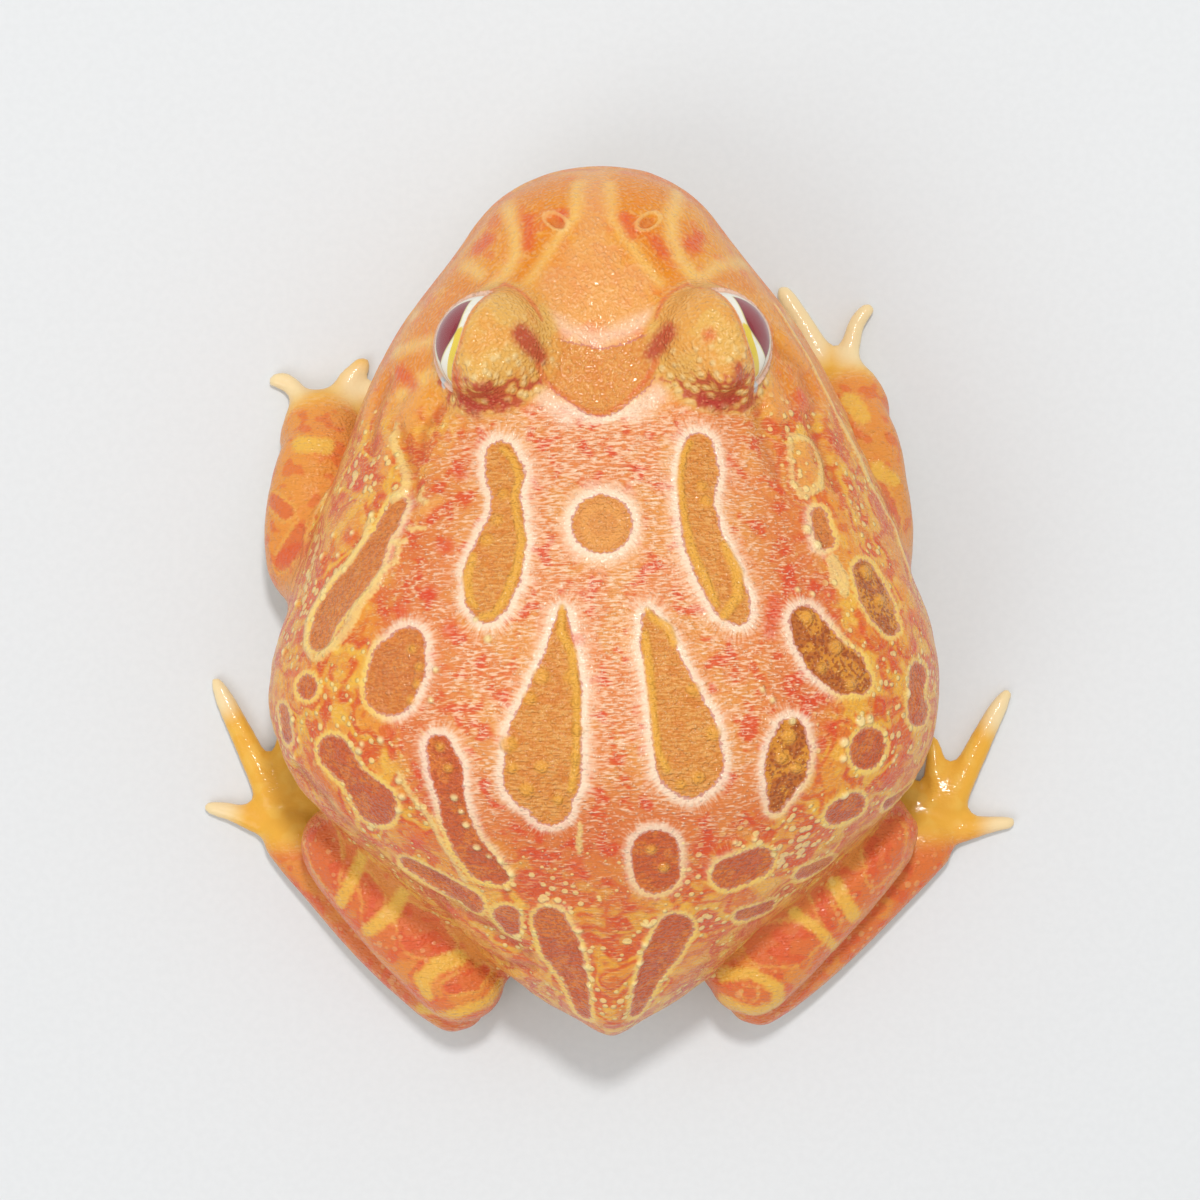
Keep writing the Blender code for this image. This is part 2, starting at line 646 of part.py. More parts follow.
def web(first, second, height):
    """The fold of skin between two neighbouring toes, a thin wedge about half as long."""
    ends = []
    for toe in (first, second):
        rows, _ = curve_through(toe, CURVE_STEPS + 1)
        ends.append([rows[0, :3], rows[int(CURVE_STEPS * WEB_REACH), :3]])
    (a0, a1), (b0, b1) = ends
    notch = (a1 + b1) / 2 * WEB_NOTCH + (a0 + b0) / 2 * (1 - WEB_NOTCH)
    outline = [a0, a1, notch, b1, b0]
    mesh = bmesh.new()
    layers = []
    for way in (1, -1):
        layers.append(
            [mesh.verts.new((p[0], p[1], height + way * WEB_HALF_THICKNESS)) for p in outline]
        )
    top, bottom = layers
    corner = ((0, 1, 2), (0, 2, 4), (4, 2, 3))
    for i, j, k in corner:
        mesh.faces.new((top[i], top[j], top[k]))
        mesh.faces.new((bottom[i], bottom[k], bottom[j]))
    for i in range(5):
        j = (i + 1) % 5
        mesh.faces.new((top[i], bottom[i], bottom[j], top[j]))
    bmesh.ops.recalc_face_normals(mesh, faces=mesh.faces)
    return object_of("web", mesh, "skin_toe")


def arm(side, whole):
    """Upper arm, forearm and four-fingered hand, each fitted to what it grows from."""
    word = "left" if side == LEFT else "right"
    shape = ARMS[side]
    upper = limb(f"upper_arm_{word}", shape["upper"], "skin_limb", count=8)
    fore = limb(f"forearm_{word}", shape["fore"], "skin_limb", count=11)
    hand = limb(f"hand_{word}", laid(shape["palm"]), "skin_toe", count=7)
    fingers = [
        limb("finger", laid(stations), "skin_toe", count=9, sides=DIGIT_SIDES)
        for stations in shape["fingers"]
    ]
    fused(hand, fingers, HAND_FACES)
    boolean(upper, "DIFFERENCE", [grown(fore)])
    boolean(fore, "DIFFERENCE", [grown(whole)])
    boolean(hand, "DIFFERENCE", [grown(whole), grown(fore)])
    for piece in (fore, hand):
        cut_plane(piece, (0, 0, 0), Vector((0, 0, -1)))
    return [upper, fore, hand]


def leg(side, whole):
    """Thigh, shank and long foot with five half-webbed toes, folded beside the body."""
    word = "left" if side == LEFT else "right"
    shape = LEGS[side]
    thigh = limb(f"thigh_{word}", shape["thigh"], "skin_limb", count=9)
    shank = limb(f"shank_{word}", shape["shank"], "skin_limb", count=13)
    foot = limb(f"foot_{word}", laid(shape["tarsus"]), "skin_toe", count=12)
    toes = [
        limb("toe", laid(stations), "skin_toe", count=9, sides=DIGIT_SIDES)
        for stations in shape["toes"]
    ]
    webs = [
        web(a, b, WEB_HEIGHT + WEB_RISE * i)
        for i, (a, b) in enumerate(zip(shape["toes"], shape["toes"][1:]))
    ]
    fused(foot, toes + webs, FOOT_FACES)
    boolean(shank, "DIFFERENCE", [grown(whole), grown(thigh)])
    boolean(foot, "DIFFERENCE", [grown(whole), grown(thigh), grown(shank)])
    for piece in (shank, foot):
        cut_plane(piece, (0, 0, 0), Vector((0, 0, -1)))
    return [thigh, shank, foot]


def stand_on_middle(pieces):
    """Moves the whole frog so that the origin is under the middle of its outline."""
    corners = np.array([v.co for p in pieces for v in p.data.vertices])
    low, high = corners.min(axis=0), corners.max(axis=0)
    root = bpy.data.objects.new("frog", None)
    bpy.context.scene.collection.objects.link(root)
    for piece in pieces:
        piece.parent = root
    root.location = (-(low[0] + high[0]) / 2, -(low[1] + high[1]) / 2, -low[2])


def build():
    clear_scene()
    torso = head_and_trunk()
    whole = copy_of(torso, "whole")
    head, jaw = part_head(torso)
    pieces = [torso, head, jaw]
    for side in (LEFT, RIGHT):
        pieces += eye_with_lids(side, head)
    cut_nostrils(head)
    for side in (LEFT, RIGHT):
        pieces += arm(side, whole)
        pieces += leg(side, whole)
    rooted = [p for p in pieces if p.name.startswith(("upper_arm", "thigh"))]
    boolean(torso, "DIFFERENCE", [grown(piece) for piece in rooted])
    bpy.data.objects.remove(whole, do_unlink=True)
    stand_on_middle(pieces)


build()
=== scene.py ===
"""Looks of a squatting horned frog at life size: one moist skin with its folds, warts and
patches, clear glossy eyes, a pale floor, soft light and a camera straight above."""

import math

import bpy
import numpy as np
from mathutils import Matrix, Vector, noise
from mathutils.bvhtree import BVHTree


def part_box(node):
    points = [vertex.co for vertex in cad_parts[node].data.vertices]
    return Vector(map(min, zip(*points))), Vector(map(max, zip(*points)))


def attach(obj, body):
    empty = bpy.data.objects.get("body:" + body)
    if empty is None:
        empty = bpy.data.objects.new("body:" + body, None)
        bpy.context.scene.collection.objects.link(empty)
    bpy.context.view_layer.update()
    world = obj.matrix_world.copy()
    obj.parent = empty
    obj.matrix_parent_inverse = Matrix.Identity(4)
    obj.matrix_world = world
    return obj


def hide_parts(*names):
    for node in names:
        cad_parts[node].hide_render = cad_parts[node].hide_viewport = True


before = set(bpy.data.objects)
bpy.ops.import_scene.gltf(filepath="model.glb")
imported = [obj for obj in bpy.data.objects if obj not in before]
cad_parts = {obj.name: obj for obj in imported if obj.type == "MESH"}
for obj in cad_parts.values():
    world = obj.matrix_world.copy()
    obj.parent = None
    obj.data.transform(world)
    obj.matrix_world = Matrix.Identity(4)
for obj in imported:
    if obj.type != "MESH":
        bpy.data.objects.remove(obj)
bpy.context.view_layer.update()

MM = 0.001

# The picture looks straight down from this height; the frog's midline is turned a little in it
CAMERA_HEIGHT = 600.0
CAMERA_FOOT = (0.69, -0.22)
VIEW_WIDTH = 130.85
PICTURE_SIZE = 1200
SENSOR = 36.0
FROG_TURN = math.atan2(12, 862)
PIXEL = VIEW_WIDTH / PICTURE_SIZE

SIDES = {"left": 1, "right": -1}


def both(*parts):
    return [f"{part}_{side}" for part in parts for side in SIDES]


# The flesh is grown together in groups: its nodes, the grid that it is grown on, how far it is
# swollen meanwhile so that the gaps close, rounds of smoothing, and levels of subdivision
FLESH = {
    "trunk": (
        ["torso", "head", "lower_jaw"] + both("eye", "upper_lid", "lower_lid", "thigh", "upper_arm"),
        1.0, 0.45, 6, 1,
    ),
    "limbs": (both("forearm", "shank"), 0.7, 0.0, 5, 1),
    "digits": (both("hand", "foot"), 0.36, 0.0, 4, 0),
    "lids": (both("eye", "upper_lid", "lower_lid"), 0.4, 0.3, 5, 0),
}
SKIN_GRID = 0.48
SKIN_SWELL = 0.25
SKIN_ROUNDS = 4
# Up to this height the underside is painted as belly and keeps only this share of its faces
UNDERSIDE_TOP = 12.0
UNDERSIDE_KEPT = 0.12
# Where the head ends along the body, behind which line a foot is painted as leg, and over which
# height the lids are painted
HEAD_END = -18.0
TARSUS_START = 24.0
LID_FOOT = 24.0
# The body's oval from above: its middle along the body, half width and half length
BODY_OVAL = (4.0, 33.0, 42.0)
# Faces are split this near to fine marks, eyeballs and nostrils
NEAR_MARK = 0.35
NEAR_EYE = 2.0
NEAR_NOSTRIL = 1.8
# Where two pieces meet in a smooth joint, the skin is relaxed this far around it, this often
SMOOTH_JOINTS = [("forearm", "hand"), ("upper_arm", "forearm")]
JOINT_REACH = 3.4
JOINT_ROUNDS = 60
# Flesh that fills the wrists' hollows: its middle and half sizes
WRISTS = [((30.9, -18.6, 2.6), (4.5, 5.2, 3.0)), ((-26.9, -20.8, 2.6), (4.3, 5.2, 3.0))]

# How an eye opens: its gaze turned forward and up, and the edge of the lids around it, as
# degrees from the corners' level: half lengths before and behind, height above and below
GAZE_AZIMUTH = 27.0
GAZE_RISE = 27.0
OPENING_AZIMUTH = 15.0
OPENING_LEVEL = 10.0
OPENING_FRONT = 80.0
OPENING_BACK = 65.0
OPENING_UP = 50.0
OPENING_DOWN = 25.0
# Powers that shape the opening. With both at 1 it would be four quarter ellipses
ALONG_POWER = 0.9
HEIGHT_POWER = 1.35
OPENING_POINTS = 96
# How thick the lids are at their edge and behind it, how far around an eyeball the skin is
# shaped, and how deep it lies behind the eyeball's surface within the opening
LID_RIM = 0.40
LID_BODY = 0.75
LID_REACH = 3.5
SOCKET_DEPTH = 1.2
# An eyeball's faces round and up, how deep the iris lies under the cornea, and the pupil's
# half length and height in degrees
EYE_SEGMENTS = 128
EYE_RINGS = 80
IRIS_DEPTH = 0.16
PUPIL_HALF_LENGTH = 42.0
PUPIL_HALF_HEIGHT = 23.0

# The mouth's height along the head, and what is raised or sunk beside it: how far over it, how
# wide and how high. Then a nostril's place, sideways and along, its rim's height and its depth
MOUTH_LINE = [(-47.3, 11.2), (-38.3, 11.9), (-28.3, 12.2), (-20.3, 11.4), (-12.3, 8.6)]
MOUTH_PROFILE = [(1.25, 0.8, 0.30), (-1.1, 0.7, 0.20), (0.0, 0.36, -0.55)]
NOSTRIL = (5.15, -40.6)
NOSTRIL_RIM = 0.15
NOSTRIL_DEPTH = 0.40
# Which way a nostril is narrow, sideways and rearward, and its half width and half length
NOSTRIL_SLANT = (0.55, 0.83)
NOSTRIL_SIZE = (0.55, 1.0)

# How far marks stand out from the skin, and over what width their sides rise. Folds are sunk
# between two swellings, and patches lie a little deeper than their rims
RELIEF = {
    "ridge": (0.16, 0.5), "knob": (0.22, 0.6), "bead": (0.26, 0.5), "cream": (0.12, 0.6),
    "lobe": (0.32, 1.6), "ring": (0.10, 0.5),
}
FOLD_DEPTH = 0.34
FOLD_SWELLING = 0.16
PATCH_DEPTH = 0.08
PATCH_RIM = 0.10
# The size of the lumps on the skin, and how far the fine lines reach out from the patches
LUMP_SIZE = 5.5
RAY_REACH = 3.0
# A distance beyond all marks, and what is left between two strokes in the measure along them
FAR = 99.0
STROKE_GAP = 7.0
# The rump's point: how far it is drawn out, and how far the skin beside it is drawn in
RUMP_POINT = 1.2
RUMP_HOLLOW = 0.9

# Marks on the skin as strokes of (x, y, radius) in the picture's pixels. First the patches, by
# their paint
PATCHES = {
    "ochre": [
        [(500, 456, 14), (505, 474, 19), (506, 496, 13), (507, 518, 16), (502, 542, 23),
         (493, 572, 28), (488, 596, 22), (487, 608, 14)],
        [(699, 448, 14), (699, 470, 19), (696, 503, 16), (703, 540, 19), (718, 575, 20),
         (731, 602, 18), (738, 613, 11)],
        [(562, 614, 4), (561, 645, 12), (556, 690, 25), (545, 735, 35), (542, 775, 38),
         (550, 804, 21)],
        [(649, 618, 6), (656, 642, 15), (664, 666, 18), (674, 698, 24), (684, 729, 31),
         (690, 762, 33), (690, 778, 20)],
        [(527, 336, 12), (548, 354, 18), (574, 371, 27), (600, 383, 33)],
        [(671, 335, 10), (654, 350, 17), (628, 370, 26), (600, 383, 33)],
        [(602, 524, 29)],
    ],
    "tan": [
        [(381, 538, 10), (368, 564, 15), (346, 590, 17), (328, 614, 16), (320, 638, 12)],
        [(407, 646, 18), (398, 666, 28), (390, 688, 26)],
        [(398, 506, 8), (388, 526, 10)], [(818, 516, 7), (824, 540, 9)],
    ],
    "rust": [
        [(439, 748, 12), (446, 770, 16), (451, 798, 12), (456, 820, 13), (468, 845, 14),
         (484, 866, 16), (500, 876, 8)],
        [(334, 753, 17), (352, 776, 13), (374, 803, 24)],
        [(308, 687, 11)],
        [(284, 712, 7), (286, 735, 8)],
        [(408, 862, 6), (439, 880, 9), (472, 901, 12)],
        [(507, 915, 12), (511, 929, 8)],
        [(868, 749, 20)],
        [(919, 675, 12), (914, 694, 8), (918, 712, 13)],
        [(839, 812, 14), (851, 806, 14)],
        [(907, 787, 5), (888, 803, 6)],
        [(655, 852, 23), (657, 872, 22)],
        [(730, 873, 17), (757, 863, 17)],
        [(803, 872, 8), (826, 862, 8)],
        [(742, 914, 7), (768, 906, 7)],
        [(675, 930, 18), (660, 958, 17), (645, 988, 11), (637, 1008, 6)],
        [(550, 922, 16), (562, 950, 19), (574, 980, 13), (584, 1010, 6)],
    ],
    "umber": [
        [(805, 622, 15), (812, 636, 19), (826, 656, 22), (845, 671, 22), (860, 681, 12)],
        [(864, 574, 13), (872, 592, 17), (881, 610, 16), (889, 625, 10)],
        [(791, 733, 14), (789, 752, 21), (786, 770, 21), (780, 790, 13), (776, 806, 6)],
    ],
}
PATCH_TONES = {"ochre": 0.0, "tan": 0.25, "rust": 0.5, "umber": 1.0}
# Other marks, each with how much its heights count beside its widths
MARKS = {
    "ridge": (0.7, [
        [(503, 449, 3), (512, 458, 3), (519, 477, 3), (514, 497, 3), (517, 520, 3),
         (522, 540, 4), (517, 567, 4), (505, 597, 4), (494, 614, 3), (482, 617, 3)],
        [(473, 556, 3), (467, 578, 4), (470, 600, 3), (476, 606, 2)],
        [(690, 443, 3), (683, 456, 3), (680, 483, 3), (685, 520, 3), (693, 553, 4),
         (709, 586, 4), (716, 604, 3)],
        [(724, 545, 3), (737, 572, 5), (738, 596, 5), (724, 616, 4)],
        [(562, 607, 2), (561, 632, 4), (572, 652, 4), (577, 700, 3), (576, 762, 3),
         (571, 790, 3)],
        [(647, 610, 2), (653, 618, 3), (668, 628, 4), (674, 643, 3)],
        [(645, 634, 3), (649, 667, 4), (654, 720, 3), (658, 751, 3), (667, 770, 3)],
    ]),
    "knob": (0.8, [
        [(541, 676, 7)], [(571, 677, 7)], [(530, 698, 6)], [(509, 744, 8)], [(541, 767, 6)],
        [(527, 790, 7)], [(512, 768, 5)], [(575, 702, 5)], [(577, 730, 5)], [(575, 758, 5)],
        [(558, 800, 5)], [(486, 540, 6)], [(503, 494, 5)], [(497, 520, 5)], [(702, 486, 5)],
        [(706, 501, 6)], [(693, 690, 6)], [(713, 733, 7)], [(698, 778, 6)], [(681, 785, 5)],
        [(412, 649, 4)], [(419, 667, 4)], [(417, 684, 4)], [(411, 700, 4)], [(807, 617, 6)],
        [(836, 647, 7)], [(822, 668, 5)], [(851, 684, 6)], [(866, 572, 7)], [(880, 600, 6)],
        [(789, 737, 7)], [(782, 758, 6)], [(796, 768, 5)], [(440, 747, 4)], [(448, 768, 4)],
        [(651, 850, 5)], [(664, 868, 5)],
    ]),
    "bead": (1.0, [
        [(323, 509, 5)], [(341, 490, 3)], [(335, 536, 3)], [(354, 534, 3)], [(323, 557, 4)],
        [(339, 556, 3)], [(297, 603, 4)], [(284, 652, 4)], [(372, 515, 4)], [(860, 721, 6)],
        [(869, 719, 5)], [(843, 742, 5)], [(842, 758, 4)], [(844, 795, 5)], [(488, 639, 4)],
        [(359, 751, 4)], [(362, 744, 3)], [(381, 740, 4)], [(399, 780, 4)], [(403, 796, 4)],
        [(399, 809, 4)], [(293, 720, 4)], [(299, 740, 3)], [(297, 757, 3)], [(454, 798, 4)],
        [(461, 812, 3)], [(466, 825, 4)], [(477, 847, 4)], [(489, 856, 3)], [(501, 860, 4)],
        [(511, 873, 4)], [(508, 888, 3)], [(579, 930, 4)], [(582, 948, 4)], [(586, 966, 4)],
        [(589, 984, 3)], [(648, 925, 4)], [(645, 944, 4)], [(640, 962, 4)], [(635, 980, 3)],
        [(735, 842, 3)], [(755, 839, 3)], [(775, 848, 3)], [(772, 700, 3)], [(762, 690, 3)],
        [(893, 760, 3)], [(797, 590, 3)], [(812, 594, 3)], [(436, 670, 3)], [(476, 620, 3)],
        [(431, 700, 3)], [(908, 694, 5)], [(792, 721, 4)], [(817, 545, 5)], [(806, 530, 5)],
    ]),
    "cream": (0.6, [
        [(398, 425, 2), (395, 444, 3), (401, 460, 3), (407, 476, 4), (405, 489, 4), (394, 500, 3)],
        [(423, 487, 2), (419, 497, 3), (428, 504, 2)],
        [(409, 529, 2), (423, 528, 2)], [(393, 543, 2), (406, 541, 2)],
        [(372, 516, 3), (366, 538, 3), (352, 558, 3), (335, 576, 3), (320, 594, 3),
         (308, 620, 3), (306, 645, 3), (313, 658, 3)],
        [(318, 659, 3), (334, 646, 4), (350, 627, 4), (355, 616, 6), (362, 603, 4),
         (375, 588, 4), (384, 571, 3), (397, 560, 2), (400, 544, 2)],
        [(399, 773, 2), (412, 796, 2), (430, 818, 3), (448, 849, 2), (466, 880, 2)],
        [(776, 306, 2), (804, 352, 2), (821, 385, 2), (846, 434, 3), (870, 483, 3),
         (891, 524, 3), (903, 557, 3), (911, 578, 2)],
        [(790, 436, 3), (812, 442, 3), (822, 464, 3), (818, 488, 4), (802, 496, 3),
         (792, 482, 2), (789, 456, 2), (790, 436, 3)],
        [(832, 562, 6), (838, 578, 9), (845, 592, 4)],
        [(331, 470, 2), (326, 496, 2), (306, 527, 2), (302, 561, 2), (292, 587, 2)],
        [(271, 493, 2), (300, 470, 2), (326, 470, 2)],
        [(273, 527, 2), (300, 506, 2), (318, 501, 2)],
        [(269, 543, 2), (276, 574, 2), (292, 590, 2)],
        [(850, 430, 2), (887, 432, 2)], [(854, 454, 2), (887, 467, 2), (903, 487, 2)],
        [(903, 818, 2), (912, 849, 2), (903, 889, 2)],
        [(298, 834, 2), (308, 856, 2), (325, 886, 2)],
        [(580, 824, 2), (579, 852, 2)],
    ]),
    "pale": (0.6, [
        [(593, 176, 12), (593, 228, 12), (593, 250, 18)], [(578, 256, 14), (606, 256, 14)],
        [(556, 284, 18), (632, 284, 18)], [(560, 306, 16), (634, 306, 16)],
        [(552, 398, 10), (530, 384, 8)], [(648, 396, 10), (668, 378, 8)],
    ]),
    "pale_line": (0.6, [
        [(509, 194, 4), (509, 212, 4), (515, 232, 3), (516, 254, 4), (506, 272, 4), (490, 286, 3)],
        [(678, 194, 4), (672, 214, 4), (672, 236, 4), (680, 258, 4), (694, 276, 3), (704, 286, 3)],
        [(444, 268, 3), (470, 268, 3), (480, 276, 3)], [(700, 278, 3), (718, 266, 3), (745, 264, 3)],
        [(577, 184, 2), (574, 214, 2), (560, 236, 2), (545, 258, 1), (528, 282, 1)],
        [(610, 184, 2), (612, 214, 2), (628, 240, 2), (642, 262, 1), (660, 284, 1)],
        [(396, 352, 3), (428, 342, 3)], [(400, 396, 3), (416, 384, 3), (434, 372, 3)],
        [(420, 300, 4), (414, 316, 4)], [(778, 300, 3), (790, 320, 3)],
    ]),
    "glow": (0.6, [
        [(545, 316, 3), (570, 332, 6), (598, 340, 7), (628, 329, 6), (652, 315, 3)],
        [(538, 392, 6), (566, 416, 7)], [(662, 390, 6), (634, 414, 7)],
    ]),
    "band": (0.5, [
        [(524, 192, 11), (540, 182, 14), (562, 188, 13)], [(536, 204, 11), (562, 200, 11)],
        [(664, 192, 12), (645, 182, 14), (624, 188, 13)], [(652, 204, 11), (626, 200, 11)],
        [(558, 230, 6), (541, 252, 10), (524, 280, 9)],
        [(628, 230, 6), (645, 252, 10), (664, 278, 9)],
        [(442, 281, 9), (482, 282, 8)], [(712, 272, 8), (748, 286, 9)],
        [(416, 300, 10), (404, 320, 8)], [(784, 318, 6), (796, 336, 6)],
        [(440, 424, 16), (428, 446, 10)], [(766, 410, 16), (772, 430, 12)],
    ]),
    "lobe": (0.6, [
        [(418, 396, 8), (408, 420, 12)], [(392, 440, 6), (384, 470, 7)],
        [(772, 384, 8), (778, 412, 12)], [(786, 342, 7), (802, 366, 8)],
        [(802, 450, 10), (806, 480, 10)], [(372, 400, 8), (364, 430, 7)],
        [(425, 512, 6), (440, 500, 5)],
    ]),
    "red": (0.6, [
        [(577, 862, 3), (577, 874, 5)], [(458, 385, 3), (456, 372, 3)], [(709, 335, 4)],
        [(529, 218, 3), (528, 246, 4)], [(562, 214, 4), (560, 224, 3)],
        [(624, 218, 4), (632, 234, 4)], [(655, 240, 4), (662, 252, 4)],
        [(478, 248, 7), (488, 240, 5)], [(693, 246, 7), (700, 236, 4)],
        [(378, 441, 6)], [(354, 467, 4)], [(360, 486, 5)], [(342, 499, 5)], [(320, 523, 4)],
        [(350, 540, 4)], [(323, 423, 4)], [(314, 480, 8), (304, 486, 7)], [(303, 796, 3), (303, 814, 4)],
        [(870, 441, 8), (876, 446, 6)], [(400, 372, 5), (414, 386, 4)], [(800, 398, 6)],
        [(416, 836, 9)], [(830, 597, 5)], [(859, 633, 5)], [(893, 658, 6)], [(886, 703, 6)],
        [(912, 617, 5)], [(913, 643, 5)], [(829, 727, 6)], [(902, 755, 6)], [(886, 779, 6)],
        [(775, 600, 5), (770, 632, 5)], [(445, 546, 6)], [(461, 474, 5)], [(429, 594, 6)],
        [(401, 610, 4)], [(450, 629, 6)], [(577, 640, 3)],
    ]),
    "coin": (0.7, [
        [(602, 524, 27)],
    ]),
    "ring": (0.7, [
        [(583, 524, 3), (588, 511, 4), (602, 505, 3), (616, 511, 4), (622, 524, 3),
         (616, 538, 4), (602, 543, 5), (588, 538, 4), (583, 524, 3)],
    ]),
    # Dark red at the lids' rear rims and inner corners is painted shade, speckled paler
    "dark": (0.6, [
        [(522, 334, 8), (531, 344, 9), (541, 357, 5)], [(668, 332, 7), (660, 342, 8), (652, 353, 5)],
        [(483, 388, 4), (492, 399, 4)], [(461, 398, 4), (475, 410, 5)], [(505, 404, 4)],
        [(703, 399, 4), (720, 406, 4), (733, 399, 3)], [(739, 368, 3), (738, 384, 4)],
    ]),
    "red_line": (0.6, [
        [(598, 416, 1), (575, 404, 1), (548, 384, 2), (538, 366, 3)],
        [(602, 416, 1), (625, 402, 1), (646, 380, 2), (656, 362, 3)],
        [(488, 290, 1), (504, 284, 2), (521, 292, 1), (534, 306, 2), (542, 320, 1)],
        [(702, 288, 1), (688, 284, 2), (673, 291, 1), (662, 302, 2), (656, 318, 1)],
    ]),
    # Creases: the dark line painted along each is painted shade in the fold
    "crease": (0.6, [
        [(402, 428, 1), (409, 460, 1), (417, 480, 1), (412, 497, 1)],
        [(297, 769, 1), (323, 796, 1), (354, 831, 1), (386, 862, 1), (421, 889, 1),
         (457, 907, 1), (492, 929, 1), (528, 960, 1)],
        [(434, 898, 1), (466, 942, 1), (501, 964, 1), (532, 973, 1)],
        [(924, 787, 1), (889, 831, 1), (853, 862, 1), (818, 893, 1), (773, 924, 1), (720, 969, 1)],
        [(776, 343, 1), (800, 368, 1), (815, 400, 1), (811, 421, 1), (821, 454, 1), (837, 487, 1)],
        [(440, 409, 1), (424, 430, 1), (420, 456, 1)], [(758, 404, 1), (764, 440, 1), (776, 470, 1)],
        [(388, 380, 1), (376, 410, 1), (372, 450, 1)],
    ]),
    "leg_red": (0.5, [
        [(314, 812, 8), (320, 838, 19), (326, 862, 16), (331, 884, 7)],
        [(366, 880, 8), (374, 902, 10), (368, 920, 6)],
        [(408, 914, 14), (424, 932, 25), (440, 944, 16)],
        [(452, 986, 8), (472, 980, 11), (484, 970, 6)], [(500, 953, 4), (520, 968, 4)],
        [(891, 832, 14), (884, 856, 20), (876, 876, 10)], [(818, 893, 7), (831, 924, 8)],
        [(765, 945, 20), (790, 944, 22), (815, 934, 12)], [(750, 994, 7)],
        [(273, 500, 7), (286, 512, 8)], [(282, 562, 9), (294, 545, 10), (300, 530, 7)],
        [(880, 490, 11), (893, 520, 12)],
    ]),
    "leg_yellow": (0.5, [
        [(363, 853, 5), (352, 880, 6), (341, 902, 6)], [(406, 888, 5), (392, 912, 8), (368, 931, 6)],
        [(458, 958, 8), (436, 966, 8), (421, 980, 7), (428, 996, 5)],
        [(421, 1009, 5), (457, 1013, 5), (490, 1000, 5), (500, 984, 5)],
        [(443, 906, 6), (470, 925, 6), (500, 944, 4)],
        [(836, 886, 7), (853, 915, 7)], [(795, 914, 5), (818, 929, 5), (836, 948, 5)],
        [(724, 975, 6), (751, 973, 5), (778, 988, 6), (778, 1004, 6), (755, 1012, 6),
         (724, 1000, 6)],
        [(300, 444, 8), (326, 446, 8)], [(878, 470, 8), (894, 480, 5)], [(850, 400, 8), (862, 415, 8)],
    ]),
    "tip": (0.5, [
        [(210, 671, 8), (222, 700, 7)], [(200, 803, 8), (222, 806, 7)],
        [(1012, 694, 9), (1000, 716, 8)], [(1020, 828, 8), (1000, 827, 7)],
        [(274, 382, 8), (292, 384, 7)], [(368, 356, 10), (356, 384, 9)],
        [(878, 314, 8), (858, 326, 10), (852, 348, 9)], [(784, 294, 12), (812, 344, 10)],
        [(926, 744, 6), (924, 770, 8)],
    ]),
    "membrane": (1.0, [
        [(441, 379, 2), (440, 390, 3)], [(757, 377, 2), (757, 391, 3)],
    ]),
}


def light_of(code):
    """An sRGB hex colour as linear light."""
    parts = [int(code[i:i + 2], 16) / 255 for i in (1, 3, 5)]
    return [c / 12.92 if c <= 0.04045 else ((c + 0.055) / 1.055) ** 2.4 for c in parts] + [1]


def add(tree, kind, inputs=None, output=None, **settings):
    """Adds a node with its settings and what feeds its sockets, and gives back its output."""
    made = tree.nodes.new("ShaderNode" + kind)
    for name, value in settings.items():
        setattr(made, name, value)
    for key, value in (inputs or {}).items():
        if isinstance(value, bpy.types.NodeSocket):
            tree.links.new(value, made.inputs[key])
        else:
            made.inputs[key].default_value = value
    if output:
        return made.outputs[output]
    return next(socket for socket in made.outputs if socket.enabled)


def new_material(name):
    """A material with its tree and main shader."""
    material = bpy.data.materials.new(name)
    material.use_nodes = True
    return material, material.node_tree, material.node_tree.nodes["Principled BSDF"]


def painted(tree, paint, layers):
    """Lays colours over a paint, each with the value that drives it, the values at which it
    starts and is full, how much of it there is then, and its colour."""
    for driver, start, full, most, colour in layers:
        share = add(
            tree, "MapRange",
            {"Value": driver, "From Min": start, "From Max": full, "To Min": 0, "To Max": most},
            interpolation_type="SMOOTHSTEP",
        )
        over = light_of(colour) if isinstance(colour, str) else colour
        under = light_of(paint) if isinstance(paint, str) else paint
        paint = add(tree, "Mix", {0: share, 6: under, 7: over}, data_type="RGBA")
    return paint


def scale_for(size):
    """A texture's scale for features of that size in millimetres, in object coordinates."""
    return 1 / (size * MM)


def soft_step(t):
    t = np.clip(t, 0, 1)
    return t * t * (3 - 2 * t)


def bell(t):
    return np.exp(-t ** 2)


def read(items, name, width, kind=np.float32):
    """A property of a mesh's points, edges or faces as an array."""
    values = np.empty(len(items) * width, kind)
    items.foreach_get(name, values)
    return values.reshape(-1, width) if width > 1 else values


def read_points(obj):
    return read(obj.data.vertices, "co", 3).astype(float) / MM


def write_points(obj, points):
    obj.data.vertices.foreach_set("co", (points * MM).astype(np.float32).ravel())
    obj.data.update()


def activate(obj):
    bpy.ops.object.select_all(action="DESELECT")
    obj.select_set(True)
    bpy.context.view_layer.objects.active = obj


def modify(obj, kind, **settings):
    """Adds a modifier to the active object and applies it."""
    modifier = obj.modifiers.new(kind.lower(), kind)
    for name, value in settings.items():
        setattr(modifier, name, value)
    bpy.ops.object.modifier_apply(modifier=modifier.name)


def select_parts(obj, points=None, faces=None):
    """Selects just these points or faces of an object, given as one truth value each, and
    goes into edit mode."""
    mesh = obj.data
    for items in (mesh.vertices, mesh.edges, mesh.polygons):
        items.foreach_set("select", np.zeros(len(items), bool))
    if points is not None:
        mesh.vertices.foreach_set("select", points)
    else:
        mesh.polygons.foreach_set("select", faces)
    activate(obj)
    bpy.ops.object.mode_set(mode="EDIT")
    bpy.ops.mesh.select_mode(type="VERT" if points is not None else "FACE")


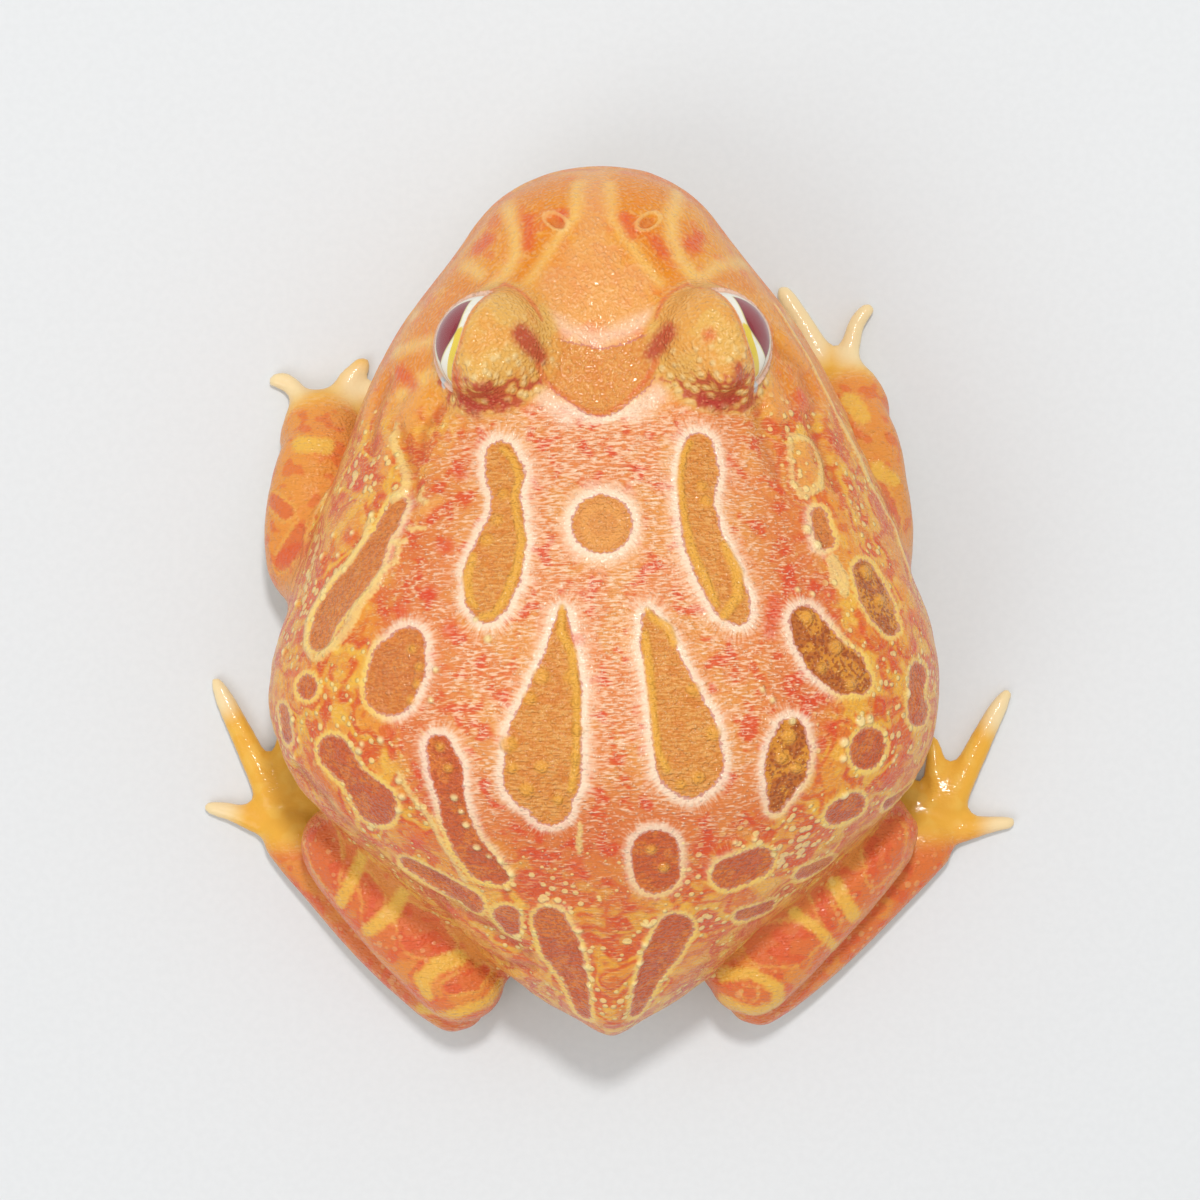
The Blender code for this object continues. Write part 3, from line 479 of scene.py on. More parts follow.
def node_copy(name):
    """A merged, separate copy of a solid's mesh."""
    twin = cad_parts[name].copy()
    twin.data = twin.data.copy()
    twin.parent = None
    for key in list(twin.keys()):
        del twin[key]
    bpy.context.scene.collection.objects.link(twin)
    select_parts(twin, points=np.ones(len(twin.data.vertices), bool))
    bpy.ops.mesh.remove_doubles(threshold=1e-6)
    bpy.ops.object.mode_set(mode="OBJECT")
    return twin


def grown_together(objects, title, grid, swell, rounds, levels):
    """Joins objects, swells them a little, grows them into one surface, and shrinks and
    smooths it."""
    bpy.ops.object.select_all(action="DESELECT")
    for obj in objects:
        obj.select_set(True)
    bpy.context.view_layer.objects.active = objects[0]
    if len(objects) > 1:
        bpy.ops.object.join()
    body = bpy.context.view_layer.objects.active
    body.name = title
    if swell:
        modify(body, "DISPLACE", strength=swell * MM, mid_level=0)
    modify(body, "REMESH", mode="VOXEL", voxel_size=grid * MM)
    if swell:
        modify(body, "DISPLACE", strength=-swell * MM, mid_level=0)
    modify(body, "SMOOTH", factor=0.5, iterations=rounds)
    if levels:
        modify(body, "SUBSURF", levels=levels, render_levels=levels)
    return body


def keep_largest(obj):
    """Drops every loose shell of a mesh but the one with the most points."""
    edges = read(obj.data.edges, "vertices", 2, np.int32)
    label = np.arange(len(obj.data.vertices))
    changed = True
    while changed:
        low = np.minimum(label[edges[:, 0]], label[edges[:, 1]])
        after = label.copy()
        np.minimum.at(after, edges[:, 0], low)
        np.minimum.at(after, edges[:, 1], low)
        after = after[after]
        changed = (after != label).any()
        label = after
    names, counts = np.unique(label, return_counts=True)
    select_parts(obj, points=label != names[counts.argmax()])
    bpy.ops.mesh.delete(type="VERT")
    bpy.ops.object.mode_set(mode="OBJECT")


def base_skin():
    """One closed surface over all the flesh and, for now, over the eyes."""
    groups = []
    for title, (names, grid, swell, rounds, levels) in FLESH.items():
        batches = [names] if title == "trunk" else [[name] for name in names]
        for batch in batches:
            copies = [node_copy(name) for name in batch]
            groups.append(grown_together(copies, title, grid, swell, rounds, levels))
    for middle, half in WRISTS:
        bpy.ops.object.select_all(action="DESELECT")
        bpy.ops.mesh.primitive_uv_sphere_add(radius=MM, location=Vector(middle) * MM)
        bpy.context.object.scale = half
        bpy.ops.object.transform_apply(location=True, rotation=True, scale=True)
        groups.append(bpy.context.object)
    skin = grown_together(groups, "skin", SKIN_GRID, SKIN_SWELL, SKIN_ROUNDS, 0)
    keep_largest(skin)
    return skin


def distance_to(names, points, reach=30.0):
    """Distance in mm from each point to the nearest of some solids."""
    verts, faces = [], []
    for name in names:
        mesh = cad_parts[name].data
        base = len(verts)
        verts += [vertex.co.copy() for vertex in mesh.vertices]
        faces += [[base + i for i in face.vertices] for face in mesh.polygons]
    tree = BVHTree.FromPolygons(verts, faces)
    away = (tree.find_nearest(Vector(p * MM), reach * MM)[3] for p in points)
    return np.array([reach * MM if d is None else d for d in away]) / MM


def relax_joints(skin):
    """Smooths the skin where two pieces of a limb meet."""
    points = read_points(skin)
    weight = np.zeros(len(points))
    for pair in SMOOTH_JOINTS:
        for side in SIDES:
            near = points[:, 0] * SIDES[side] > 0
            first, second = (
                distance_to([f"{part}_{side}"], points[near], JOINT_REACH * 2) for part in pair
            )
            share = soft_step(1.4 - np.maximum(first, second) / JOINT_REACH)
            weight[near] = np.maximum(weight[near], share)
    edges = read(skin.data.edges, "vertices", 2, np.int32)
    a, b = edges[:, 0], edges[:, 1]
    count = np.bincount(edges.ravel(), minlength=len(points))
    for _ in range(JOINT_ROUNDS):
        middle = np.stack([
            np.bincount(a, points[b, axis], len(points)) + np.bincount(b, points[a, axis], len(points))
            for axis in range(3)
        ], axis=1) / count[:, None]
        points += (middle - points) * weight[:, None] * 0.5
    write_points(skin, points)


def camera_ray(px, py):
    """Where a pixel of the picture looks: a point and a direction, in millimetres."""
    right = np.array((-math.cos(FROG_TURN), math.sin(FROG_TURN), 0))
    down = np.array((math.sin(FROG_TURN), math.cos(FROG_TURN), 0))
    foot = np.array((*CAMERA_FOOT, 0))
    half = PICTURE_SIZE / 2
    target = foot + (right * (px - half) + down * (py - half)) * PIXEL
    start = foot + np.array((0, 0, CAMERA_HEIGHT))
    return start, target - start


def stations_on(skin, strokes):
    """Where strokes given in the picture's pixels lie on the skin: (x, y, z, radius) in mm."""
    tree = BVHTree.FromObject(skin, bpy.context.evaluated_depsgraph_get())
    traced = []
    for stroke in strokes:
        stations = []
        for px, py, radius in stroke:
            start, way = camera_ray(px, py)
            hit = tree.ray_cast(Vector(start * MM), Vector(way))[0]
            if hit is None:
                hit = tree.find_nearest(Vector((start + way * 0.99) * MM))[0]
            place = np.array(hit) / MM
            share = (CAMERA_HEIGHT - place[2]) / CAMERA_HEIGHT
            stations.append((*place, radius * PIXEL * share))
        traced.append(np.array(stations))
    return traced


def stroke_field(points, strokes, flatten):
    """Distance in mm from each point to the nearest stroke's edge, negative inside, and how
    far along the stroke that is. Heights count less than widths by flatten."""
    squeeze = np.array((1, 1, flatten))
    flat = points * squeeze
    best = np.full(len(points), FAR)
    along = np.zeros(len(points))
    run = 0.0
    for stations in strokes:
        ends = stations if len(stations) > 1 else np.vstack([stations, stations])
        for a, b in zip(ends, ends[1:]):
            start, line = a[:3] * squeeze, (b[:3] - a[:3]) * squeeze
            length = max(float(np.linalg.norm(line)), 1e-6)
            off = flat - start
            place = off @ (line / length)
            held = np.clip(place, 0, length)
            beyond = place - held
            beside = np.sqrt(np.maximum((off ** 2).sum(axis=1) - place ** 2, 0))
            away = np.hypot(beyond, beside) - (a[3] + (b[3] - a[3]) * held / length)
            nearer = away < best
            best[nearer] = away[nearer]
            swing = np.arctan2(beyond, beside + 1e-6) * (a[3] + 1)
            along[nearer] = (run + held + swing)[nearer]
            run += length
        run += STROKE_GAP
    return best, along


def eye_place(side):
    """The middle and radius of an eyeball, from its solid."""
    low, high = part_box(f"eye_{side}")
    return np.array((low + high) / 2) / MM, float((high - low).y) / 2 / MM


def direction(side, azimuth, rise):
    """A direction from an eye, by degrees forward of sideways and degrees over level."""
    turn, up = math.radians(azimuth), math.radians(rise)
    return np.array((
        SIDES[side] * math.cos(up) * math.cos(turn), -math.cos(up) * math.sin(turn), math.sin(up)
    ))


def lid_edge(side):
    """The edge of the lids as a closed row of points on the eyeball."""
    middle, radius = eye_place(side)
    points = []
    for k in range(OPENING_POINTS):
        turn = 2 * math.pi * k / OPENING_POINTS
        across, up = math.cos(turn), math.sin(turn)
        length = OPENING_FRONT if across > 0 else OPENING_BACK
        height = OPENING_UP if up > 0 else OPENING_DOWN
        azimuth = OPENING_AZIMUTH + length * math.copysign(abs(across) ** ALONG_POWER, across)
        rise = OPENING_LEVEL + height * math.copysign(abs(up) ** HEIGHT_POWER, up)
        points.append(middle + radius * direction(side, azimuth, rise))
    return np.array(points)


def lid_distance(side, points):
    """Distance in mm from the lids' edge along the eyeball, negative within the opening."""
    middle, radius = eye_place(side)
    out = points - middle
    away = np.linalg.norm(out, axis=1)
    on_ball = middle + out / away[:, None] * radius
    edge = lid_edge(side)
    best = np.full(len(points), 1e9)
    for a, b in zip(edge, np.roll(edge, -1, axis=0)):
        line = b - a
        t = np.clip(((on_ball - a) @ line) / (line @ line), 0, 1)
        best = np.minimum(best, np.linalg.norm(on_ball - a - t[:, None] * line, axis=1))
    azimuth = np.degrees(np.arctan2(-out[:, 1], SIDES[side] * out[:, 0])) - OPENING_AZIMUTH
    azimuth = (azimuth + 180) % 360 - 180
    rise = np.degrees(np.arcsin(np.clip(out[:, 2] / away, -1, 1))) - OPENING_LEVEL
    across = np.abs(azimuth) / np.where(azimuth > 0, OPENING_FRONT, OPENING_BACK)
    up = np.abs(rise) / np.where(rise > 0, OPENING_UP, OPENING_DOWN)
    inside = across ** (2 / ALONG_POWER) + up ** (2 / HEIGHT_POWER) < 1
    return np.where(inside, -best, best)


def open_lids(points):
    """Presses the skin in behind the eyeballs and rims it around them. Gives the points and
    each one's distance from the lids' edge."""
    points = points.copy()
    rim_distance = np.full(len(points), 9.0)
    for side in SIDES:
        middle, radius = eye_place(side)
        out = points - middle
        away = np.linalg.norm(out, axis=1)
        near = (away < radius + LID_REACH) & (away > 1)
        edge = lid_distance(side, points[near])
        rim_distance[near] = edge
        hidden = radius - SOCKET_DEPTH
        rim = radius + LID_RIM * soft_step(edge / 0.35 + 0.4)
        cover = rim + (radius + LID_BODY - rim) * soft_step((edge - 0.5) / 1.6)
        keep = np.maximum(away[near], cover)
        lifted = cover + (keep - cover) * soft_step((edge - 0.2) / 1.2)
        target = hidden + (lifted - hidden) * soft_step(edge / 0.5 + 0.62)
        fade = soft_step((radius + LID_REACH - away[near]) / 1.2)
        fade = np.where(edge < 0.3, 1, fade)
        new = away[near] + (target - away[near]) * fade
        points[near] = middle + out[near] / away[near][:, None] * new[:, None]
    return points, rim_distance


def nostril_place(side, points):
    """The point of the head's top over a nostril."""
    across = np.hypot(points[:, 0] - SIDES[side] * NOSTRIL[0], points[:, 1] - NOSTRIL[1])
    near = np.where(across < 0.8)[0]
    return points[near[points[near, 2].argmax()]]


def refine_details(skin, fine_marks):
    """Thins the underside, where nothing small is, and refines lids, nostrils and ridges."""
    centres = read(skin.data.polygons, "center", 3) / MM
    normals = read(skin.data.polygon_normals, "vector", 3)
    under = (normals[:, 2] < -0.35) & (centres[:, 2] < UNDERSIDE_TOP)
    select_parts(skin, faces=under)
    bpy.ops.mesh.decimate(ratio=UNDERSIDE_KEPT)
    bpy.ops.object.mode_set(mode="OBJECT")
    centres = (read(skin.data.polygons, "center", 3) / MM).astype(float)
    fine = stroke_field(centres, fine_marks, 1.0)[0] < NEAR_MARK
    for side in SIDES:
        middle, radius = eye_place(side)
        out = centres - middle
        away = np.linalg.norm(out, axis=1)
        gaze = direction(side, OPENING_AZIMUTH, OPENING_LEVEL)
        fine |= (np.abs(away - radius) < NEAR_EYE) & (out @ gaze > -1.0)
        fine |= np.linalg.norm(centres - nostril_place(side, centres), axis=1) < NEAR_NOSTRIL
    select_parts(skin, faces=fine)
    bpy.ops.mesh.subdivide(number_cuts=1)
    bpy.ops.object.mode_set(mode="OBJECT")


def ray_share(skin, points, away, along):
    """How much of the skin's fine lines run out from the patches at each point: most of them
    near the edges, but none where the nearest edge changes and the coordinate jumps."""
    edges = read(skin.data.edges, "vertices", 2, np.int32)
    a, b = edges[:, 0], edges[:, 1]
    length = np.linalg.norm(points[a] - points[b], axis=1)
    jump = np.abs(along[a] - along[b]) > 2.5 * length + 0.1
    share = np.ones(len(points))
    share[edges[jump].ravel()] = 0
    # The lines fade back in over three edges
    for _ in range(3):
        spread = share.copy()
        np.minimum.at(spread, a, share[b] + 0.34)
        np.minimum.at(spread, b, share[a] + 0.34)
        share = spread
    return 0.8 * share * soft_step((RAY_REACH - away) / 1.8) * soft_step(away / 0.3 + 0.5)


def body_shares(points, normals):
    """Which part of the frog each point is on, as soft shares."""
    away = {
        "trunk": distance_to(["torso", "head", "lower_jaw"], points),
        "lids": distance_to(both("upper_lid", "lower_lid"), points),
        "arms": distance_to(both("upper_arm", "forearm"), points),
        "legs": distance_to(both("thigh", "shank"), points),
        "hands": distance_to(both("hand"), points),
        "feet": distance_to(both("foot"), points),
    }
    other = np.minimum.reduce([away[k] for k in ("arms", "legs", "hands", "feet")])
    trunk = soft_step((other - away["trunk"]) / 1.2 + 0.5)
    limb = 1 - trunk
    upper = np.minimum(away["arms"], away["legs"])
    lower = np.minimum(away["hands"], away["feet"])
    toe = soft_step((upper - lower) / 4.5 + 0.5) * limb
    tarsus = soft_step((points[:, 1] - TARSUS_START) / 5)
    head = soft_step((HEAD_END - points[:, 1]) / 5) * trunk
    steep = soft_step((0.93 - normals[:, 2]) / 0.30)
    oval_middle, half_width, half_length = BODY_OVAL
    oval = np.hypot(points[:, 0] / half_width, (points[:, 1] - oval_middle) / half_length)
    outer = soft_step((oval - 0.62) / 0.18) * soft_step((np.abs(points[:, 0]) - 1.5) / 5)
    return {
        "trunk": trunk,
        "leg": np.clip(limb * (1 - toe) + toe * tarsus, 0, 1),
        "arm": soft_step((8 - points[:, 1]) / 4),
        "toe": toe * (1 - tarsus),
        "head": head,
        "lid": soft_step((2.0 - away["lids"]) / 1.5) * soft_step((points[:, 2] - LID_FOOT) / 3),
        "flank": np.maximum(steep, outer) * trunk * (1 - head),
        "belly": (
            soft_step((-normals[:, 2] - 0.05) / 0.5) * soft_step((UNDERSIDE_TOP - points[:, 2]) / 6)
        ),
    }


def sculpt(skin, traced):
    """Gives the plain skin its lids, lips, nostrils, ridges and folds. Gives back the values
    that the paint needs at every point."""
    points = read_points(skin)
    beside, along_body = np.abs(points[:, 0]), points[:, 1]
    normals = read(skin.data.vertex_normals, "vector", 3).astype(float)
    fields = body_shares(points, normals)
    trunk, head = fields.pop("trunk"), fields["head"]

    nearest = np.full(len(points), FAR)
    fields["tone"], fields["along"] = np.zeros(len(points)), np.zeros(len(points))
    for paint, tone in PATCH_TONES.items():
        away, along = stroke_field(points, traced[paint], 0.55)
        closer = away < nearest
        nearest = np.minimum(nearest, away)
        fields["tone"][closer] = tone
        fields["along"][closer] = along[closer]
    fields["patch"] = nearest
    fields["ray"] = ray_share(skin, points, nearest, fields["along"])
    eye_y = eye_place("left")[0][1]
    fields["rear"] = fields["lid"] * soft_step((along_body - eye_y + 1.5) / 3)
    # The rear of the lid, where shade is painted between its tubercles
    fields["crevice"] = fields["lid"] * soft_step((along_body - eye_y - 1.5) / 3)
    for name, (flatten, _) in MARKS.items():
        fields[name] = stroke_field(points, traced[name], flatten)[0]

    def raised(name, reach):
        """1 within a mark, falling to 0 over that reach around its edge."""
        return soft_step(0.5 - fields[name] / reach)

    rough = np.array([noise.fractal(Vector(p / LUMP_SIZE), 0.9, 2.0, 3) for p in points])
    fields["coarse"] = 0.5 + 0.5 * rough
    ruddy = 0.7 * soft_step((beside - 12) / 9) + soft_step((along_body - 14) / 14)
    fields["ruddy"] = np.clip(ruddy + 0.5 * rough, 0, 1) * soft_step((along_body + 22) / 12)
    legs = 0.35 * fields["leg"] * (1 - fields["arm"])
    sides = np.maximum(np.maximum(fields["flank"], 0.6 * fields["ruddy"] * trunk), legs)
    fields["warty"] = sides * (0.15 + 0.85 * soft_step(nearest + 0.4))
    middle = soft_step((13 - beside) / 6) * soft_step((8 - along_body) / 10)
    middle = np.maximum(middle, soft_step((6 - beside) / 3) * soft_step((25 - along_body) / 8))
    fields["whiten"] = (
        0.10 * soft_step((2.4 - nearest) / 1.8) + 0.03 * middle - 0.10 * fields["ruddy"]
    )
    fields["rough"] = 1 - 0.85 * fields["toe"] - 0.15 * head * (1 - fields["lid"])
    fields["leathery"] = soft_step(0.5 - nearest / 0.5) * trunk * (1 - 0.4 * head)
    lift = (0.05 + 0.20 * fields["flank"]) * rough * trunk + 0.06 * rough * (1 - trunk)
    lift += trunk * PATCH_RIM * bell((nearest - 0.5) / 0.55)
    lift -= trunk * PATCH_DEPTH * raised("patch", 0.8)
    for name, (rise, reach) in RELIEF.items():
        lift += rise * raised(name, reach)
    lift -= FOLD_DEPTH * bell(np.maximum(fields["crease"], 0) / 0.8)
    lift += FOLD_SWELLING * bell((fields["crease"] - 1.8) / 0.9)

    over = points[:, 2] - np.interp(along_body, *zip(*MOUTH_LINE))
    face = soft_step((-13.5 - along_body) / 3) * soft_step((8 - np.abs(over)) / 3)
    face *= trunk * (normals[:, 2] > -0.85)
    for middle_height, width, rise in MOUTH_PROFILE:
        lift += face * rise * bell((over - middle_height) / width)
    # A dark line along the mouth's groove, painted as shade
    fields["slit"] = face * bell(over / 0.35)

    fields["pit"], fields["nostril_rim"] = np.zeros(len(points)), np.zeros(len(points))
    for side in SIDES:
        off = points - nostril_place(side, points)
        sideways, rearward = off[:, 0] * SIDES[side], off[:, 1]
        lean = sideways * NOSTRIL_SLANT[0] + rearward * NOSTRIL_SLANT[1]
        cross = sideways * NOSTRIL_SLANT[1] - rearward * NOSTRIL_SLANT[0]
        out = np.sqrt(
            (lean / NOSTRIL_SIZE[0]) ** 2 + (cross / NOSTRIL_SIZE[1]) ** 2 + (off[:, 2] / 2.0) ** 2
        )
        # The pit is painted darker as shade
        fields["pit"] = np.maximum(fields["pit"], np.exp(-out ** 4))
        ring = bell((out - 1.45) / 0.4)
        fields["nostril_rim"] = np.maximum(fields["nostril_rim"], ring)
        lift += NOSTRIL_RIM * ring - NOSTRIL_DEPTH * np.exp(-out ** 4)

    points += normals * lift[:, None]
    # The rump is drawn out to a blunt point
    side_way = np.abs(points[:, 0])
    tip = RUMP_POINT * bell(side_way / 2.6) - RUMP_HOLLOW * bell((side_way - 8) / 4)
    points[:, 1] += tip * soft_step((points[:, 1] - 34) / 9) * trunk
    points, fields["lid_edge"] = open_lids(points)
    points[:, 2] = np.maximum(points[:, 2], 0)
    write_points(skin, points)
    return fields


def store(obj, fields):
    for name, values in fields.items():
        layer = obj.data.attributes.new(name, "FLOAT", "POINT")
        layer.data.foreach_set("value", np.asarray(values, np.float32))


def frog_skin(names):
    """Living amphibian skin: a thin wet outer layer over cream, orange and ochre pigment. It
    is finely granular and wrinkled, and shines in small wet points. Shade is painted into its
    creases, the mouth's groove, the nostrils' pits, the hollows by the lids and the gaps between
    the lid's tubercles, and highlights onto its granules' tops."""
    material, tree, shader = new_material("moist_frog_skin")
    at = {name: add(tree, "Attribute", output="Fac", attribute_name=name) for name in names}
    place = add(tree, "TexCoord", output="Object")
    blotch = add(
        tree, "TexNoise", {"Vector": place, "Scale": scale_for(2.2), "Detail": 1.0, "Roughness": 0.6}
    )
    # The finest real grain is too fine for the render and is drawn at about a third of a mm
    fine = add(tree, "TexNoise", {"Vector": place, "Scale": scale_for(0.36), "Detail": 0.0})
    # Wrinkles run across the back, and out from the patches' edges close to them
    across = add(tree, "Mapping", {"Vector": place, "Scale": (0.24, 1, 0.5)})
    wrinkle = add(tree, "TexNoise", {"Vector": across, "Scale": scale_for(0.21), "Detail": 1.0})
    way = add(tree, "CombineXYZ", {
        0: add(tree, "Math", {0: at["along"], 1: 4.5}, operation="MULTIPLY"),
        1: add(tree, "Math", {0: at["patch"], 1: 0.6}, operation="MULTIPLY"),
    })
    rays = add(tree, "TexNoise", {"Vector": way, "Scale": 1.0, "Detail": 0.0})
    # Lines near the patches and grain on the head are fainter than wrinkles on the open back
    rays, calm = (
        add(tree, "Math", {0: source, 1: 0.45, 2: 0.275}, operation="MULTIPLY_ADD")
        for source in (rays, fine)
    )
    streak = add(tree, "Mix", {0: at["ray"], 2: wrinkle, 3: rays}, data_type="FLOAT")
    streak = add(tree, "Mix", {0: at["head"], 2: streak, 3: calm}, data_type="FLOAT")
    # Close to a patch the pale streaks join into a pale rim
    paleness = add(tree, "Math", {0: streak, 1: at["whiten"]}, operation="ADD")
    redness = add(tree, "Math", {
        0: blotch, 1: add(tree, "Math", {0: paleness, 1: 0.40}, operation="MULTIPLY"),
    }, operation="SUBTRACT")
    pebble = add(tree, "TexVoronoi", {"Vector": place, "Scale": scale_for(1.10)}, feature="F1")
    grain = add(tree, "TexVoronoi", {"Vector": place, "Scale": scale_for(0.50)}, feature="F1")
    wander = add(tree, "Math", {
        0: add(tree, "Math", {0: fine, 1: 0.5}, operation="SUBTRACT"), 1: 0.5,
    }, operation="MULTIPLY")
    ragged = {
        name: add(tree, "Math", {0: at[name], 1: wander}, operation="ADD")
        for name in ("patch", "red", "dark", "leg_red", "leg_yellow", "cream", "band")
    }
    # Warts are large on the yellower skin and small or missing on the redder
    size = add(tree, "Math", {0: at["coarse"], 1: 0.7, 2: -0.28}, operation="MULTIPLY_ADD")
    wart = add(tree, "Math", {
        0: add(
            tree, "MapRange",
            {
                "Value": add(tree, "Math", {0: pebble, 1: size}, operation="ADD"),
                "From Min": 0.40, "From Max": 0.16, "To Min": 0, "To Max": 1,
            },
            interpolation_type="SMOOTHSTEP",
        ),
        1: at["warty"],
    }, operation="MULTIPLY")
    stone = add(tree, "Math", {
        0: add(tree, "Math", {0: 0.5, 1: pebble}, operation="SUBTRACT"), 1: at["rear"],
    }, operation="MULTIPLY")
    # Painted shade: dark red in the gaps between the rear lid's tubercles
    tubercle_gap_shade = add(tree, "Math", {0: pebble, 1: at["crevice"]}, operation="MULTIPLY")
    leather = add(tree, "Math", {0: fine, 1: at["leathery"]}, operation="MULTIPLY")

    back = painted(tree, "#DF8448", [
        (at["coarse"], 0.40, 0.62, 0.8, "#E2984E"),
        (at["ruddy"], 0.0, 1.0, 0.85, "#D66A3A"),
        (redness, 0.32, 0.52, 0.78, "#D94228"),
        (paleness, 0.43, 0.70, 0.70, "#F8D4B2"),
        (ragged["patch"], 1.30, 0.50, 0.66, "#FAE4C8"),
        # Pale stipple on the granules' tops: pale pigment and painted highlights
        (grain, 0.30, 0.10, 0.35, "#F8E2C4"),
    ])
    # Here yellow skin winds as a net between redder hollows
    flank = painted(tree, "#DC6830", [
        (at["coarse"], 0.36, 0.44, 0.85, "#EBB040"),
        (at["coarse"], 0.48, 0.56, 0.85, "#D8582C"),
        (at["coarse"], 0.60, 0.66, 0.80, "#E89C3C"),
        (blotch, 0.52, 0.60, 0.50, "#D24828"),
        (blotch, 0.44, 0.36, 0.50, "#EDBA4C"),
        (streak, 0.50, 0.68, 0.35, "#F2C478"),
        (ragged["patch"], 0.90, 0.45, 0.80, "#F2CC6C"),
    ])
    skull = painted(tree, "#E48A2C", [
        (at["coarse"], 0.45, 0.62, 0.8, "#E89C34"),
        (blotch, 0.50, 0.64, 0.55, "#E26E2C"),
        (at["pale"], 1.2, -0.6, 0.65, "#E6A462"),
        (ragged["band"], 0.7, -0.4, 0.8, "#E2881E"),
        (at["pale_line"], 1.20, -0.50, 0.62, "#F4D078"),
        (fine, 0.50, 0.72, 0.22, "#F4CC90"),
    ])
    lid = painted(tree, "#E2AC58", [
        (at["coarse"], 0.44, 0.62, 0.6, "#E29644"),
        (fine, 0.50, 0.72, 0.22, "#F2D496"),
        # Painted shade between the tubercles
        (tubercle_gap_shade, 0.34, 0.64, 0.80, "#BA3C32"),
        (stone, 0.02, 0.36, 0.70, "#F0D294"),
    ])
    limb = painted(tree, "#DE763C", [
        (at["arm"], 0.0, 1.0, 0.75, "#E89A44"),
        (at["coarse"], 0.42, 0.60, 0.6, "#E49844"),
        (ragged["leg_red"], 0.55, 0.2, 0.5, "#E9AC54"),
        (ragged["leg_red"], 0.2, -0.2, 0.75, "#DA6038"),
        (blotch, 0.52, 0.62, 0.45, "#DC4C30"),
        (ragged["leg_yellow"], 0.45, -0.25, 0.80, "#ECBC50"),
    ])
    digit = painted(tree, "#E9AE42", [
        (blotch, 0.45, 0.62, 0.6, "#ECBC56"),
        (at["tip"], 2.6, -0.5, 0.8, "#F1DFB4"),
    ])
    trunk = painted(tree, back, [
        (at["flank"], 0.0, 1.0, 1.0, flank),
        (at["head"], 0.0, 1.0, 1.0, skull),
        (at["glow"], 1.2, -0.6, 0.45, "#FBE3CC"),
        (at["lobe"], 0.4, -0.4, 0.7, "#E8A052"),
    ])
    ochre = painted(tree, "#D98A40", [
        (streak, 0.40, 0.60, 0.5, "#E0A058"),
        (blotch, 0.54, 0.66, 0.5, "#D67C38"),
        (streak, 0.50, 0.68, 0.35, "#ECB46C"),
        (streak, 0.48, 0.34, 0.30, "#C27030"),
        # Pale stipple on the granules' tops: pale pigment and painted highlights
        (grain, 0.26, 0.08, 0.30, "#F4CC94"),
    ])
    rust = painted(tree, "#CC6436", [
        (blotch, 0.47, 0.56, 0.8, "#DA7C38"),
        (fine, 0.52, 0.62, 0.5, "#B85030"),
        (streak, 0.46, 0.36, 0.35, "#A84828"),
        # Pale stipple on the granules' tops: pale pigment and painted highlights
        (grain, 0.26, 0.08, 0.25, "#E8A070"),
    ])
    umber = painted(tree, "#BC6A30", [
        (blotch, 0.46, 0.56, 0.9, "#DA9038"),
        (fine, 0.52, 0.62, 0.7, "#984826"),
        # Pale stipple on the granules' tops: pale pigment and painted highlights
        (grain, 0.24, 0.08, 0.40, "#F2CC90"),
    ])
    patch = painted(tree, ochre, [
        (at["tone"], 0.2, 0.3, 1.0, rust),
        (at["tone"], 0.7, 0.8, 1.0, umber),
    ])
    # Painted shade for the hollows by the lids, with pale speckles on the granules
    granular = painted(tree, "#B83C34", [(grain, 0.45, 0.12, 0.75, "#E68A64")])
    paint = painted(tree, trunk, [
        (ragged["patch"], 0.26, 0.14, 0.7, "#C07068"),
        (ragged["patch"], 0.10, -0.04, 1.0, patch),
        (at["coin"], 0.3, -0.3, 0.7, "#E09450"),
        (at["ring"], 0.2, -0.1, 0.6, "#EAA256"),
        (at["lid"], 0.0, 1.0, 1.0, lid),
        (ragged["red"], 0.9, -0.4, 0.65, "#DC4A30"),
        (at["knob"], 0.40, -0.30, 0.8, "#E8A444"),
        (at["ridge"], 0.34, -0.20, 0.9, "#E9AA46"),
        (ragged["cream"], 0.30, -0.12, 0.7, "#F0D084"),
        # Painted shade at the lids' rear rims and inner corners
        (ragged["dark"], 0.9, -0.3, 0.85, granular),
        (at["red_line"], 0.30, -0.1, 0.55, "#DC5A36"),
        (at["bead"], 0.20, -0.25, 0.85, "#F5DC9A"),
        # Painted shade: a dark reddish line along the creases
        (at["crease"], 0.8, -0.1, 0.35, "#B8522E"),
        (at["leg"], 0.0, 1.0, 1.0, limb),
        (at["toe"], 0.0, 1.0, 1.0, digit),
        (at["belly"], 0.0, 1.0, 0.9, "#F4DDBE"),
        (at["lid_edge"], 0.85, 0.40, 0.5, "#DC7440"),
        (at["lid_edge"], 0.36, 0.12, 0.9, "#EFC8B0"),
        (at["membrane"], 0.3, -0.1, 0.9, "#C9CFD0"),
        (at["nostril_rim"], 0.3, 0.9, 0.45, "#F0C880"),
        # Painted shade in the nostrils' pits
        (at["pit"], 0.4, 1.0, 0.5, "#D9823C"),
        # Painted shade along the mouth's groove
        (at["slit"], 0.2, 1.0, 0.6, "#B4573A"),
        (wart, 0.20, 0.6, 0.70, "#F6DC90"),
    ])

